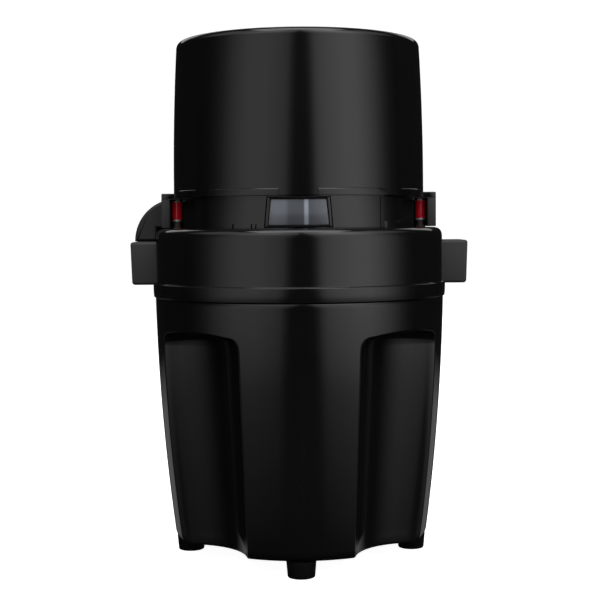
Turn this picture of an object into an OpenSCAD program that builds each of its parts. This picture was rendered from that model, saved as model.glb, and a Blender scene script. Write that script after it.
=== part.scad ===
// Electric food chopper with a bottom motor. It runs while its cover is pressed down.
// Millimetres, +Z up, front towards -Y. The origin is on the ground under the motor shaft.

/* [Housing] */
// Height of the rubber feet
foot_h = 8; // [5:0.5:12]
// Radius of a rubber foot
foot_r = 7; // [5:0.25:8]
// Distance of each foot's centre inside the housing's foot
foot_set = 7; // [6:0.25:9]
// Height of the motor housing
housing_h = 120; // [112:1:130]
// Radius of the housing at its top
housing_top_r = 71.5; // [65:0.25:78]
// Radius of the housing at its foot
housing_foot_r = 62.5; // [58:0.25:68]
// Inward slope of the housing just below its top
housing_slope = 0.0179; // [0.01:0.001:0.03]
// Radius of the housing's lower edge
housing_edge = 4.7; // [3:0.1:6]
// Wall of the housing
wall = 2.5; // [2:0.1:3]
// Thickness of the housing's floor
floor_t = 4; // [3.5:0.25:5]

/* [Flutes] */
// Depth of a flute at the floor
flute_foot_depth = 14.3; // [12:0.1:15]
// Depth of a flute at its upper end
flute_top_depth = 15.1; // [12:0.1:16]
// Radius of a flute at the floor
flute_foot_r = 31; // [28:0.5:32]
// Radius of a flute at its upper end
flute_top_r = 38.6; // [36:0.2:40]
// Distance between the collar and the end of a flute's axis
flute_gap = 19.3; // [17:0.1:28]
// Fillet at a flute's closed end
flute_fillet = 6; // [3:0.5:8]

/* [Collar] */
// Height of the collar
collar_h = 33.6; // [32:0.2:37]
// How far the collar lies inside the housing's upper edge
collar_set = 0.4; // [0:0.1:1]
// How far the lower band's lip stands out past the housing
band_out = 1.1; // [0.6:0.1:2]
// Height of the lower band
band_h = 7.4; // [6:0.2:8]
// Rounding of the collar's upper edge
shoulder_r = 4.5; // [3:0.25:4.5]
// Width of the rim round the opening that the cover drops into
rim_w = 8.9; // [8.4:0.1:9.8]
// Depth of the deck inside that opening
deck_drop = 9.6; // [9:0.2:11]
// Thickness of the deck and of the well's floor
deck_t = 2; // [1.6:0.1:2.2]
// Width of the deck between that opening and the bowl well
deck_w = 7; // [6.8:0.1:7.8]
// Height of the well's floor above the collar's foot
well_rise = 3; // [2.6:0.2:4]
// Depth of the spigot inside the housing
spigot_h = 5; // [4:0.25:5]
// Outer radius of the shaft tube
tube_r = 8; // [7.8:0.1:8.2]
// Inner radius of the shaft tube
tube_bore = 6; // [5.8:0.1:6.2]
// Height of the shaft tube above the well's floor
tube_h = 40; // [38:0.5:42]

/* [Grips] */
// How far a grip stands out past the collar
grip_out = 11.6; // [9:0.1:15]
// Height of a grip
grip_h = 21; // [20:0.25:22]
// Front to back depth of a grip
grip_d = 28; // [26:0.5:28]
// Height of a grip's underside above the collar's foot
grip_rise = 6.2; // [4.5:0.1:6.5]
// Inward draft of a grip's outer face
grip_draft = 0.7; // [0:0.1:2]
// Rounding of a grip's upright edges
grip_edge = 2; // [1:0.25:3]
// Cover of the grip past the end of the collar's lug
lug_cover = 4.3; // [3:0.1:6]
// Cover of the grip over the lug, all round
grip_skin = 3; // [2:0.25:4]

/* [Switch housing] */
// Radius of the switch housing's round outline
pod_r = 21.4; // [20.5:0.1:22]
// How far that outline lies inside the grip's reach
pod_set = 0.2; // [0:0.1:1]
// Front face of the switch housing
pod_front = 4; // [2:0.5:6]
// Room in front of the switch and behind it
switch_room = 1.75; // [1:0.25:4]
// Wall of the switch housing
pod_wall = 1.8; // [1.4:0.1:2]

/* [Cover] */
// Height of the bell
bell_h = 76.5; // [75:0.5:90]
// How far the bell lies inside the collar's opening
bell_set = 0.3; // [0.2:0.1:0.6]
// How far the bell draws in towards its upper edge
bell_taper = 2; // [1:0.1:4]
// Height of the bell's straight lower part
bell_straight = 4; // [3:0.5:45]
// Rounding of the bell's upper edge
bell_edge = 3.6; // [2:0.1:5]
// Wall of the bell
bell_wall = 2.4; // [2:0.1:2.6]
// Height of the bead at the bell's foot
bead_h = 3.5; // [2:0.25:4]
// How far the bead stands out
bead_out = 0.8; // [0.4:0.1:1.2]
// Height of the skirt that shows above the collar
skirt_show = 14.9; // [14:0.1:16]
// How far the skirt lies inside the bell
skirt_set = 0.3; // [0.2:0.1:0.5]
// Wall of the skirt
skirt_t = 2.4; // [2:0.1:2.6]
// Height of the skirt's spigot inside the bell
skirt_spigot = 5; // [3:0.5:7]

/* [Window] */
// Width of the window frame at its top
window_top = 28.5; // [28:0.1:31]
// Width of the window frame at its foot
window_foot = 31; // [30:0.1:36]
// Height of the window frame
window_h = 14.1; // [12:0.1:14.1]
// Width of the frame's sides
window_border = 2; // [1.4:0.1:2.4]
// Height of the frame's upper and lower rails
window_rail = 1.1; // [0.8:0.1:2]
// Thickness of the pane
pane_t = 1.4; // [1:0.1:1.6]

/* [Plungers and switch] */
// Distance of each plunger's centre inside the collar's opening
pin_set = 1.6; // [1:0.1:1.7]
// Radius of a red plunger
pin_r = 2.3; // [2:0.05:2.7]
// Radius of a bright end ring
pin_ring_r = 2.5; // [2.4:0.05:3]
// Height of a bright end ring
pin_ring_h = 1.1; // [0.8:0.1:1.6]
// Gap between the collar and a plunger
pin_lift = 3.4; // [2.2:0.1:4]
// Travel of the cover and the plungers
travel = 2.5; // [1.5:0.1:2.8]
// Radius of a plunger stem
stem_r = 1.75; // [1.5:0.05:1.9]
// Radius of a plunger guide
guide_r = 2.6; // [2.4:0.05:3.3]
// Thickness of the yoke that joins the plungers
yoke_t = 2.5; // [2:0.1:2.8]
// Wire radius of a return spring
wire_r = 0.45; // [0.3:0.05:0.5]
// Turns of a return spring
spring_turns = 6; // [4:1:8]
// Length of the safety switch
switch_l = 12.8; // [12:0.1:13]
// Width of the safety switch
switch_w = 5.8; // [5:0.1:6]
// Gap between the pressed yoke and the safety switch
arm_gap = 2; // [1:0.1:3]

/* [Ears] */
// Distance of an ear's outer face inside the collar
ear_set = 3.4; // [2.6:0.1:3.6]
// Half the front to back depth of an ear
ear_half = 8; // [7:0.25:8.5]
// Thickness of an ear's walls
ear_t = 1.6; // [1.4:0.1:2]
// Thickness of an ear's outer wall
ear_outer_t = 4.2; // [2.5:0.1:4.3]
// Thickness of an ear's roof
ear_roof = 3.2; // [2:0.1:4]
// How far the roof's underside lies below the bell
ear_under = 0.8; // [0.6:0.1:2]
// Depth of the pocket behind a plunger
pocket_depth = 4.2; // [3.9:0.1:4.5]
// Depth of the shallow step between that pocket and the skirt's front
step_depth = 1.2; // [0.8:0.1:1.8]

/* [Bowl and blades] */
// Gap between the bowl and its well
bowl_gap = 1.7; // [1.2:0.1:3]
// Height of the bowl
bowl_h = 95; // [80:1:100]
// Sheet thickness of the bowl
bowl_t = 0.8; // [0.6:0.1:1]
// Corner radius at the bowl's floor
bowl_corner = 8; // [4:0.5:12]
// Height of the bowl's tower above the shaft tube
tower_gap = 5; // [4:0.5:6]
// Radius of the blade hub's lower part
hub_r = 14; // [13:0.25:15]
// Radius of the blade hub's top
hub_top_r = 12; // [11:0.25:13]
// Height of the lower blade above the bowl's floor
lower_blade_up = 6; // [5:0.5:9]
// Height of the upper blade above the lower one
blade_step = 15; // [12:0.5:18]
// Thickness of a blade
blade_t = 1.2; // [1:0.1:2]
// Gap between the blades' tips and the bowl
blade_gap = 2.7; // [2:0.1:6]
// Radius of a blade's outer edge
blade_outer_r = 29; // [26:0.5:29.5]
// Radius of a blade's hollow edge
blade_inner_r = 32; // [31:0.5:33]

/* [Motor] */
// Radius of the motor shaft
shaft_r = 4; // [3.5:0.1:4.5]
// Gap between the housing's floor and the motor's screw heads
motor_gap = 1; // [0.5:0.25:2]
// Length of the shaft's hexagonal end
hex_l = 10; // [8:0.5:12]
// Outer radius of the stator
stator_r = 40; // [38:0.5:41]
// Inner radius of the stator's yoke
stator_in = 33; // [32.5:0.5:34]
// Radius of the bore between the pole shoes
pole_r = 23; // [22.8:0.1:24]
// Thickness of a pole shoe
shoe_t = 4; // [3:0.25:4.2]
// Half the width of a pole neck
neck_half = 9; // [8:0.5:10]
// Height of the stator's stack
stack_h = 32; // [28:1:34]
// Underside of the stack above the ground
stack_foot = 40; // [39:0.5:42]
// Height of a field coil's end turn
coil_end = 5; // [4:0.5:5.5]
// Gap between armature and pole shoes
air_gap = 0.6; // [0.4:0.1:1]
// Slots in the armature
armature_slots = 12; // [8:2:16]
// Radius of the commutator
commutator_r = 11.5; // [10:0.25:12]
// Height of the commutator
commutator_h = 12; // [10:0.5:13]
// Gap between the cooling fan and the motor's legs
fan_gap = 2; // [1.5:0.5:8]
// Height of the cooling fan
fan_h = 9; // [7:0.5:10]
// Blades of the cooling fan
fan_blades = 9; // [7:1:12]
// Thickness of the motor brackets' plates
bracket_t = 3; // [2.5:0.25:3.5]
// Radius of the upper bracket's plate
bracket_r = 45; // [44:0.5:46]
// Distance of the rubber dampers inside the bracket's edge
damper_set = 8; // [7:0.5:9]
// Height of a rubber damper
damper_h = 8; // [6:0.5:9]

/* [Base and screws] */
// Width of the floor between the base plate and the flutes
base_margin = 3.2; // [3:0.1:5]
// Thickness of the base plate
base_plate_t = 2; // [1.6:0.1:2.2]
// Width of the ledge that the base plate is screwed to
base_ledge = 8; // [7:0.5:10]
// Air slots in the base plate
vent_count = 12; // [8:1:14]
// Radius of a small screw's shank
screw_r = 1.6; // [1.3:0.1:1.8]
// Radius of a small screw's head
screw_head_r = 3.2; // [2.8:0.1:3.6]
// Height of a small screw's head
screw_head_h = 2; // [1.6:0.1:2.4]
// Distance of the collar's screws inside the housing's upper edge
collar_screw_set = 9; // [8.6:0.1:9.4]
// Bore of the cord gland
gland_bore = 3.6; // [3:0.1:4]
// Height of the cord gland above the ground
gland_up = 24; // [22:0.5:28]

/* [Hidden] */
$fn = 64;

// Clearances: between moving pieces, in a running fit, and between fixed pieces
clear = 0.3;
running = 0.05;
seat = 0.1;
// Overshoot of a cutting shape past the face that it cuts
over = 1;

// Radii that follow from the housing, from the outside in
collar_r = housing_top_r - collar_set;
band_r = housing_top_r + band_out;
opening_r = collar_r - rim_w;
well_r = opening_r - deck_w;
bowl_r = well_r - bowl_gap;
bell_r = opening_r - bell_set;
bell_top_r = bell_r - bell_taper;
skirt_r = bell_r - skirt_set;
pin_at = opening_r - pin_set;
ear_reach = collar_r - ear_set;
grip_reach = collar_r + grip_out;
lug_reach = grip_reach - lug_cover;
pod_at = grip_reach - pod_set - pod_r;
collar_screw_at = housing_top_r - collar_screw_set;
foot_offset = housing_foot_r - foot_set;
base_plate_r = housing_foot_r - flute_foot_depth - base_margin;
base_hole_r = base_plate_r - base_ledge;

// Axis of a flute: its height above the floor, and its offset in X and Y at both ends
flute_h = housing_h - flute_gap;
flute_foot_at = (housing_r(0) - flute_foot_depth + flute_foot_r) / sqrt(2);
flute_top_at = (housing_r(flute_h) - flute_top_depth + flute_top_r) / sqrt(2);

// Levels, from the ground up
z_floor = foot_h;
z_inner_floor = z_floor + floor_t;
z_collar = foot_h + housing_h;
z_band = z_collar + band_h;
z_rim = z_collar + collar_h;
z_deck = z_rim - deck_drop;
z_deck_under = z_deck - deck_t;
z_well = z_collar + well_rise;
z_well_under = z_well - deck_t;
z_bell = z_rim + skirt_show;
z_top = z_bell + bell_h;
z_grip = z_collar + grip_rise;
z_grip_top = z_grip + grip_h;
z_ear_under = z_bell - ear_under;
z_pin = z_rim + pin_lift;
z_skirt = z_deck + travel + 0.5;

// Collar walls
well_wall = 2;
well_out = well_r + well_wall;
collar_in = collar_r - wall;
spigot_r = housing_top_r - wall - clear;
spigot_in = spigot_r - well_wall;
rim_in = opening_r + 3;
rim_roof = 5;
band_edge = 0.4;
lip_h = 2.6;
lip_in = 0.4;
groove_d = 0.5;

// Press mechanism
stop_gap = clear;
boss_h = 1.2;
z_yoke_top = z_deck_under - stop_gap - boss_h;
z_yoke = z_yoke_top - yoke_t;
yoke_in = well_out + 1.2;
yoke_out = pin_at + 3;
boss_r = guide_r - 0.2;
retainer_t = 2;
z_retainer = z_well_under - retainer_t;
retainer_in = well_out - 7;
retainer_out = spigot_in - 0.8;
spring_r = 2.6;
spring_end = 0.1;
peg_r = 1.6;
peg_h = 4;
slot_margin = 0.6;
z_guide_top = z_pin - travel - seat;

// Switch inside its housing, and the yoke's arm above it
switch_front = grip_d / 2 + seat + pod_wall + switch_room;
switch_y = switch_front + switch_l / 2;
pod_back = switch_front + switch_l + switch_room + pod_wall;
switch_off = 0.6;
switch_x = sqrt(band_r * band_r - switch_front * switch_front) + switch_off + switch_w / 2;
z_switch_top = z_yoke - travel - arm_gap;
button_l = 3;
button_w = 2;
arm_w = 6;
arm_past = 4.3;
arm_y0 = switch_y - arm_w / 2;
arm_y1 = switch_y + arm_w / 2;
arm_x = switch_x + arm_past;
cover_path = bell_r + bead_out + 1.5;

// Ears, and the turns from the front at which the skirt steps back towards them
ear_notch = 0.6;
step_r = skirt_r - step_depth;
pocket_r = skirt_r - pocket_depth;
step_turn = 43;
pocket_turn = 54.5;
pocket_back = ear_half - ear_t;
cut_turn = 90 + asin((pocket_back + ear_half) / 2 / pocket_r);
back_turn = 90 + asin(ear_half / pocket_r);
end_turn = ear_t / pocket_r * 180 / PI;
tab_h = 3;
tab_set = 0.3;
inner_set = 0.3;
lid_set = 0.2;
tab_r = skirt_r - tab_set;
bead_end = skirt_r * sin(step_turn);
bead_start = 9;
bead_slope = 4;

// Screws that hold the collar, at these turns about the shaft
collar_turns = [75, 105, 255, 285];
post_r = 4.3;
post_gap = 1.5;
post_h = z_yoke - travel - post_gap - z_well_under;
lug_h = 7.7;
z_lug = z_collar - spigot_h - seat - lug_h - 0.2;
lug_in = collar_screw_at - 5;
lug_half = 5.5;
screw_tip = 2;
collar_screw_l = z_well_under + post_h - over - screw_tip - z_lug;

// Bowl and hub
tower_in = tube_r + 0.6;
tower_out = tower_in + bowl_t;
tower_hole = shaft_r + 1;
tower_h = tube_h + tower_gap;
hub_in = tower_out + 0.8;
z_bowl_floor = z_well + bowl_t;
z_tower = z_well + tower_h;
z_hub = z_bowl_floor + 3.2;
z_blade1 = z_bowl_floor + lower_blade_up;
z_blade2 = z_blade1 + blade_step;
z_hub_straight = z_blade2 + blade_t + 8;
z_hub_roof = z_tower + 1.5;
z_hex = z_hub_roof + 1.5;
z_shaft_top = z_hex + hex_l;
hub_cap_t = 8;
z_hub_top = z_shaft_top + clear + hub_cap_t;
hub_dome = 4;
blade_ring = 4;
blade_drop = 12;
blade_set = 12;
tip_up = (blade_inner_r * blade_inner_r - blade_outer_r * blade_outer_r - blade_drop * blade_drop) / (2 * blade_drop);
tip_y = tip_up - blade_set;
blade_reach = bowl_r - bowl_t - blade_gap;
blade_mid = sqrt(blade_reach * blade_reach - tip_y * tip_y) - sqrt(blade_outer_r * blade_outer_r - tip_up * tip_up);

// Motor
z_stack_top = stack_foot + stack_h;
armature_r = pole_r - air_gap;
slot_w = 2.4;
slot_d = 6;
winding_in = 8;
winding_out = armature_r - 3.4;
winding_h = 4.5;
winding_top_h = 7;
coil_in = pole_r + shoe_t + clear;
coil_out = stator_in - clear;
coil_half = 17;
z_commutator = z_stack_top + winding_top_h + 5;
z_brush = z_commutator + commutator_h / 2;
brush_w = 4.4;
brush_h = 6;
brush_out = 25;
holder_skin = 1.4;
holder_out = 33;
z_bracket_up = z_commutator + commutator_h + 5.5;
bearing_r = 9;
bearing_h = 7;
bearing_skin = 2.5;
z_bearing_up = z_bracket_up + bracket_t;
z_bracket_low = z_inner_floor + motor_gap + screw_head_h;
shaft_foot = z_bracket_low - 1;
motor_screw_at = (stator_r + stator_in) / 2;
damper_at = bracket_r - damper_set;
bearing_low_h = 5;
z_bearing_low = z_bracket_low;
bracket_half = 9;
leg_r = 5;
motor_screw_r = 2;
motor_head_r = 3.6;
z_fan = stack_foot - winding_h - fan_h - 2;
fan_disc = 1.2;
fan_hub = 8;
fan_r = motor_screw_at - leg_r - fan_gap;
fan_blade_t = 1.4;
fan_pitch = 25;
z_damper = z_bracket_up + bracket_t;
damper_r = 6;
damper_boss_r = 5;
boss_l = z_well_under - z_damper - damper_h;
mount_screw_l = bracket_t + damper_h + 0.45 * boss_l;

// Base
base_screw_at = (base_plate_r + base_hole_r) / 2;
base_screw_l = floor_t - 0.4;
vent_w = 3.2;
vent_in = 11;
vent_out = base_hole_r - 4;
foot_taper = 0.6;
stud_r = 2.5;
stud_up = 1;
gland_r = gland_bore + 1.6;
gland_flange = gland_r + 2.2;
gland_in = 8;
gland_out = 3;

// Radius of the housing at a height above its floor: a straight slope with a bow
function bow() = (housing_top_r - housing_foot_r - housing_slope * housing_h) / (housing_h * housing_h);
function housing_r(up) =
    let (h = housing_h - up)
    housing_top_r - housing_slope * h - bow() * h * h;

// Points of an arc about a centre, from one angle to another
function arc(cx, cz, r, a0, a1, steps = 6) =
    [for (i = [0:steps]) let (a = a0 + (a1 - a0) * i / steps) [cx + r * cos(a), cz + r * sin(a)]];

// Solid tube or disc between two levels
module ring(r_out, r_in, z0, z1) {
    translate([0, 0, z0])
        linear_extrude(z1 - z0)
            difference() {
                circle(r_out);
                circle(r_in);
            }
}

module disc(r, z0, z1) {
    translate([0, 0, z0])
        cylinder(r = r, h = z1 - z0);
}

// Box between two corners
module block(p0, p1) {
    translate(p0)
        cube(p1 - p0);
}

// Copies on both the left and the right
module both_sides() {
    children();
    mirror([1, 0, 0]) children();
}

// Copies at given turns about the shaft
module at_turns(turns, r) {
    for (a = turns)
        rotate(a) translate([r, 0, 0]) children();
}

// One screw, head down, with its head's underside at a level
module screw(z, shank_r, shank_l, head_r, head_h) {
    disc(head_r, z - head_h, z);
    disc(shank_r, z, z + shank_l);
}

// Housing

// Revolved outline of the housing, set in from the outside
module housing_form(inset, foot) {
    steps = 6;
    edge = housing_edge;
    foot_r_here = housing_r(edge) - inset;
    lower = arc(foot_r_here - edge, foot + edge, edge, -90, 0, 4);
    side = [for (i = [1:steps])
        let (up = edge + (housing_h - edge) * i / steps)
        [housing_r(up) - inset, z_floor + up]];
    rotate_extrude()
        polygon(concat([[0, foot]], lower, side, [[0, z_collar]]));
}

// The tapered, tilted cutters of the flutes, grown outwards by a wall
module flute_cutters(grow) {
    lean = (flute_top_at - flute_foot_at) * sqrt(2);
    length = sqrt(lean * lean + flute_h * flute_h);
    tilt = atan2(lean, flute_h);
    below = 20;
    slope = (flute_top_r - flute_foot_r) / length;
    top = length + grow;
    r_below = flute_foot_r - slope * below + grow;
    r_top = flute_foot_r + slope * (top - flute_fillet) + grow;
    for (quarter = [0:3])
        rotate(45 + 90 * quarter)
            translate([flute_foot_at * sqrt(2), 0, z_floor])
                rotate([0, tilt, 0])
                    rotate_extrude()
                        polygon(concat(
                            [[0, -below], [r_below, -below]],
                            arc(r_top - flute_fillet, top - flute_fillet, flute_fillet, 0, 90, 4),
                            [[0, top]]));
}

module motor_housing() {
    color([0.03, 0.03, 0.032])
        difference() {
            union() {
                difference() {
                    housing_form(0, z_floor);
                    flute_cutters(0);
                    difference() {
                        translate([0, 0, 0.01]) housing_form(wall, z_inner_floor);
                        flute_cutters(wall);
                    }
                }
                at_turns(collar_turns, 0)
                    block([lug_in, -lug_half, z_lug], [housing_top_r - wall / 2, lug_half, z_lug + lug_h]);
            }
            at_turns(collar_turns, collar_screw_at)
                disc(screw_r + seat, z_lug - over, z_lug + lug_h + over);
            disc(base_hole_r, z_floor - over, z_inner_floor + over);
            disc(base_plate_r + seat, z_floor - over, z_floor + base_plate_t);
            at_turns([0:90:270], base_screw_at)
                disc(screw_r + running, z_floor, z_inner_floor + over);
            at_turns([0:90:270], foot_offset)
                disc(stud_r, z_floor - over, z_inner_floor + over);
            translate([0, housing_top_r, gland_up])
                rotate([90, 0, 0])
                    cylinder(r = gland_r + running, h = housing_top_r / 2);
        }
}

module base_plate() {
    color([0.05, 0.05, 0.055])
        difference() {
            disc(base_plate_r, z_floor, z_floor + base_plate_t);
            for (i = [0:vent_count - 1])
                rotate(360 * (i + 0.5) / vent_count)
                    block([vent_in, -vent_w / 2, z_floor - over],
                          [vent_out, vent_w / 2, z_floor + base_plate_t + over]);
            at_turns([0:90:270], base_screw_at)
                disc(screw_r + seat, z_floor - over, z_floor + base_plate_t + over);
        }
}

module base_plate_screws() {
    color([0.6, 0.6, 0.62])
        at_turns([0:90:270], base_screw_at)
            screw(z_floor, screw_r, base_screw_l, screw_head_r, screw_head_h);
}

module rubber_feet() {
    color([0.02, 0.02, 0.02])
        at_turns([0:90:270], foot_offset) {
            cylinder(r1 = foot_r - foot_taper, r2 = foot_r, h = foot_h);
            disc(stud_r, z_floor, z_inner_floor + stud_up);
        }
}

module cord_gland() {
    face = housing_r(gland_up - z_floor + gland_flange);
    color([0.04, 0.04, 0.04])
        difference() {
            union() {
                translate([0, face + gland_out, gland_up])
                    rotate([90, 0, 0])
                        cylinder(r = gland_r, h = gland_in + gland_out);
                translate([0, face + gland_out, gland_up])
                    rotate([90, 0, 0])
                        cylinder(r = gland_flange, h = gland_out - seat);
            }
            translate([0, face + gland_out + over, gland_up])
                rotate([90, 0, 0])
                    cylinder(r = gland_bore, h = gland_in + gland_out + 2 * over);
        }
}

// Collar

// Half section of the collar, with its bowl well, shaft tube and hollow rim
module collar_form() {
    rim_edge = collar_r - shoulder_r;
    rotate_extrude()
        polygon(concat(
            [[spigot_r, z_collar], [housing_top_r, z_collar], [band_r - lip_in, z_collar + lip_h / 2],
             [band_r, z_collar + lip_h], [band_r, z_band - band_edge], [collar_r - groove_d, z_band],
             [collar_r, z_band + groove_d]],
            arc(rim_edge, z_rim - shoulder_r, shoulder_r, 0, 90),
            [[opening_r, z_rim], [opening_r, z_deck], [well_r, z_deck], [well_r, z_well],
             [tube_r, z_well], [tube_r, z_well + tube_h], [tube_bore, z_well + tube_h],
             [tube_bore, z_well_under], [well_out, z_well_under], [well_out, z_deck_under],
             [rim_in, z_deck_under], [rim_in, z_rim - rim_roof], [rim_edge, z_rim - rim_roof],
             [collar_in, z_rim - rim_roof - 2], [collar_in, z_collar + well_rise],
             [spigot_in, z_collar + well_rise - 2], [spigot_in, z_collar - spigot_h],
             [spigot_r, z_collar - spigot_h]]));
}

// The lug that a grip is pushed over, grown by a clearance
module grip_lug(grow) {
    block([collar_r - wall / 2, -grip_d / 2 + grip_skin - grow, z_grip + grip_skin - grow],
          [lug_reach + grow, grip_d / 2 - grip_skin + grow, z_grip_top - grip_skin + grow]);
}

module collar() {
    color([0.03, 0.03, 0.032])
        difference() {
            union() {
                collar_form();
                both_sides() grip_lug(0);
                for (a = collar_turns)
                    rotate(a) {
                        translate([collar_screw_at, 0, 0])
                            disc(post_r, z_well_under, z_well_under + post_h);
                        block([collar_screw_at, -post_r / 2, z_well_under + 2],
                              [collar_r - wall / 2, post_r / 2, z_well_under + post_h]);
                    }
                at_turns([45:90:315], damper_at)
                    disc(damper_boss_r, z_damper + damper_h, z_well_under + deck_t / 2);
            }
            at_turns(collar_turns, collar_screw_at)
                disc(screw_r + running, z_well_under - over, z_well_under + post_h - over);
            at_turns([45:90:315], damper_at)
                disc(motor_screw_r + running, z_damper + damper_h - over, z_well_under - over);
            both_sides() {
                translate([pin_at, 0, 0])
                    disc(guide_r, z_deck_under - over, z_rim + over);
                block([opening_r - over, -ear_half - ear_notch, z_rim - travel - 0.5],
                      [ear_reach + ear_notch, ear_half + ear_notch, z_rim + over]);
            }
            block([-collar_r - over, arm_y0 - slot_margin, z_yoke - travel - slot_margin],
                  [-spigot_in + 6, arm_y1 + slot_margin, z_yoke_top + slot_margin]);
        }
}

module collar_screws() {
    color([0.6, 0.6, 0.62])
        at_turns(collar_turns, collar_screw_at)
            screw(z_lug, screw_r, collar_screw_l, screw_head_r, screw_head_h);
}

// Outline of a grip seen from above, with rounded outer corners
module grip_plan() {
    corner_x = grip_reach - grip_edge;
    corner_y = grip_d / 2 - grip_edge;
    union() {
        translate([collar_r - 8, -grip_d / 2]) square([corner_x - collar_r + 8, grip_d]);
        translate([corner_x - over, -corner_y]) square([grip_edge + over, 2 * corner_y]);
        for (side = [-1, 1])
            translate([corner_x, side * corner_y]) circle(grip_edge);
    }
}

// Side view of a grip, with a drafted outer face and eased long edges
module grip_side() {
    ease = 0.8;
    polygon([
        [collar_r - 8, z_grip],
        [grip_reach - grip_draft - ease, z_grip],
        [grip_reach - grip_draft, z_grip + ease],
        [grip_reach, z_grip_top - ease],
        [grip_reach - ease, z_grip_top],
        [collar_r - 8, z_grip_top]]);
}

module grip() {
    color([0.09, 0.09, 0.092])
        difference() {
            intersection() {
                translate([0, 0, z_grip]) linear_extrude(grip_h) grip_plan();
                translate([0, grip_d / 2, 0])
                    rotate([90, 0, 0])
                        linear_extrude(grip_d) grip_side();
            }
            disc(collar_r + seat, z_collar, z_rim);
            disc(band_r + seat, z_collar, z_band + seat);
            grip_lug(seat);
        }
}

module left_grip() { mirror([1, 0, 0]) grip(); }

module right_grip() { grip(); }

// Round-topped block of the switch housing, set in by its wall
module pod_form(inset, y0, y1, z0) {
    intersection() {
        translate([-pod_at, y1, z_grip_top])
            rotate([90, 0, 0])
                cylinder(r = pod_r - inset, h = y1 - y0);
        block([-pod_at - pod_r, y0, z0], [-pod_at + pod_r / 4, y1, z_grip_top + pod_r]);
    }
}

// Lower part of the switch housing, behind the grip
module pod_foot(inset, y0, y1, z0) {
    block([-pod_at - pod_r + inset, y0, z0], [-pod_at, y1, z_grip_top + over]);
}

module switch_housing() {
    back_of_grip = grip_d / 2 + seat;
    color([0.08, 0.08, 0.082])
        difference() {
            union() {
                pod_form(0, pod_front, pod_back, z_grip_top + seat);
                pod_foot(0, back_of_grip, pod_back, z_grip);
            }
            difference() {
                union() {
                    pod_form(pod_wall, pod_front + pod_wall, pod_back - pod_wall, z_grip_top + pod_wall);
                    pod_foot(pod_wall, back_of_grip + pod_wall, pod_back - pod_wall, z_grip + pod_wall);
                }
                disc(cover_path + pod_wall, z_rim, z_top);
            }
            disc(collar_r + seat, z_collar, z_rim + seat);
            disc(band_r + seat, z_collar, z_band + seat);
            disc(cover_path, z_rim, z_top);
            block([-ear_reach - 2 * ear_notch, -over, z_rim - over],
                  [0, ear_half + 2 * ear_notch, z_top]);
        }
}

module safety_switch() {
    color([0.12, 0.12, 0.13])
        difference() {
            block([-switch_x - switch_w / 2, switch_y - switch_l / 2, z_grip + pod_wall],
                  [-switch_x + switch_w / 2, switch_y + switch_l / 2, z_switch_top]);
            block([-switch_x - button_w / 2 - seat, switch_y - button_l / 2 - seat,
                   z_yoke - clear - travel - 6],
                  [-switch_x + button_w / 2 + seat, switch_y + button_l / 2 + seat, z_yoke]);
        }
}

module switch_button() {
    color([0.75, 0.72, 0.65])
        block([-switch_x - button_w / 2, switch_y - button_l / 2, z_yoke - clear - travel - 3],
              [-switch_x + button_w / 2, switch_y + button_l / 2, z_yoke - clear]);
}

// Press mechanism

module plunger_guides() {
    color([0.2, 0.2, 0.2])
        both_sides()
            translate([pin_at, 0, 0])
                ring(guide_r, stem_r + running, z_deck_under, z_guide_top);
}

module plunger_yoke() {
    color([0.16, 0.16, 0.17])
        union() {
            ring(yoke_out, yoke_in, z_yoke, z_yoke_top);
            both_sides()
                translate([pin_at, 0, 0]) {
                    disc(boss_r, z_yoke, z_yoke_top + boss_h);
                    disc(stem_r, z_yoke, z_pin);
                    disc(peg_r, z_yoke - peg_h, z_yoke + over);
                }
            block([-arm_x, arm_y0, z_yoke], [-yoke_in, arm_y1, z_yoke_top]);
        }
}

module red_plungers() {
    color([0.75, 0.05, 0.06])
        both_sides()
            translate([pin_at, 0, 0])
                disc(pin_r, z_pin + pin_ring_h, z_ear_under - pin_ring_h);
}

module plunger_rings() {
    color([0.85, 0.85, 0.87])
        both_sides()
            translate([pin_at, 0, 0]) {
                disc(pin_ring_r, z_pin, z_pin + pin_ring_h);
                disc(pin_ring_r, z_ear_under - pin_ring_h, z_ear_under);
            }
}

// Wire of a coil spring: one tube swept along a helix
module coil_spring(z0, z1) {
    per_turn = 8;
    sides = 6;
    rise = z1 - z0 - 2 * wire_r;
    rings = spring_turns * per_turn;
    points = [for (i = [0:rings])
        let (a = 360 * i / per_turn, z = z0 + wire_r + rise * i / rings)
        for (k = [0:sides - 1])
            let (b = 360 * k / sides, r = spring_r + wire_r * cos(b))
            [r * cos(a), r * sin(a), z + wire_r * sin(b)]];
    skin = [for (i = [0:rings - 1]) for (k = [0:sides - 1])
        let (n = (k + 1) % sides, a = i * sides, b = (i + 1) * sides)
        for (face = [[a + k, b + n, a + n], [a + k, b + k, b + n]]) face];
    last = rings * sides;
    first_cap = [for (k = [1:sides - 2]) [0, k, k + 1]];
    last_cap = [for (k = [1:sides - 2]) [last, last + k + 1, last + k]];
    polyhedron(points, concat(skin, first_cap, last_cap));
}

module return_springs() {
    color([0.7, 0.7, 0.72])
        both_sides()
            translate([pin_at, 0, 0])
                coil_spring(z_well_under + spring_end, z_yoke - spring_end);
}

module yoke_retainer() {
    color([0.1, 0.1, 0.1])
        difference() {
            union() {
                ring(retainer_out, retainer_in, z_retainer, z_well_under);
                at_turns(collar_turns, collar_screw_at)
                    disc(spigot_in - collar_screw_at - 0.4, z_lug + lug_h, z_retainer + over);
            }
            at_turns(collar_turns, collar_screw_at)
                disc(screw_r + seat, z_lug, z_well_under + over);
        }
}

// Cover

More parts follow.
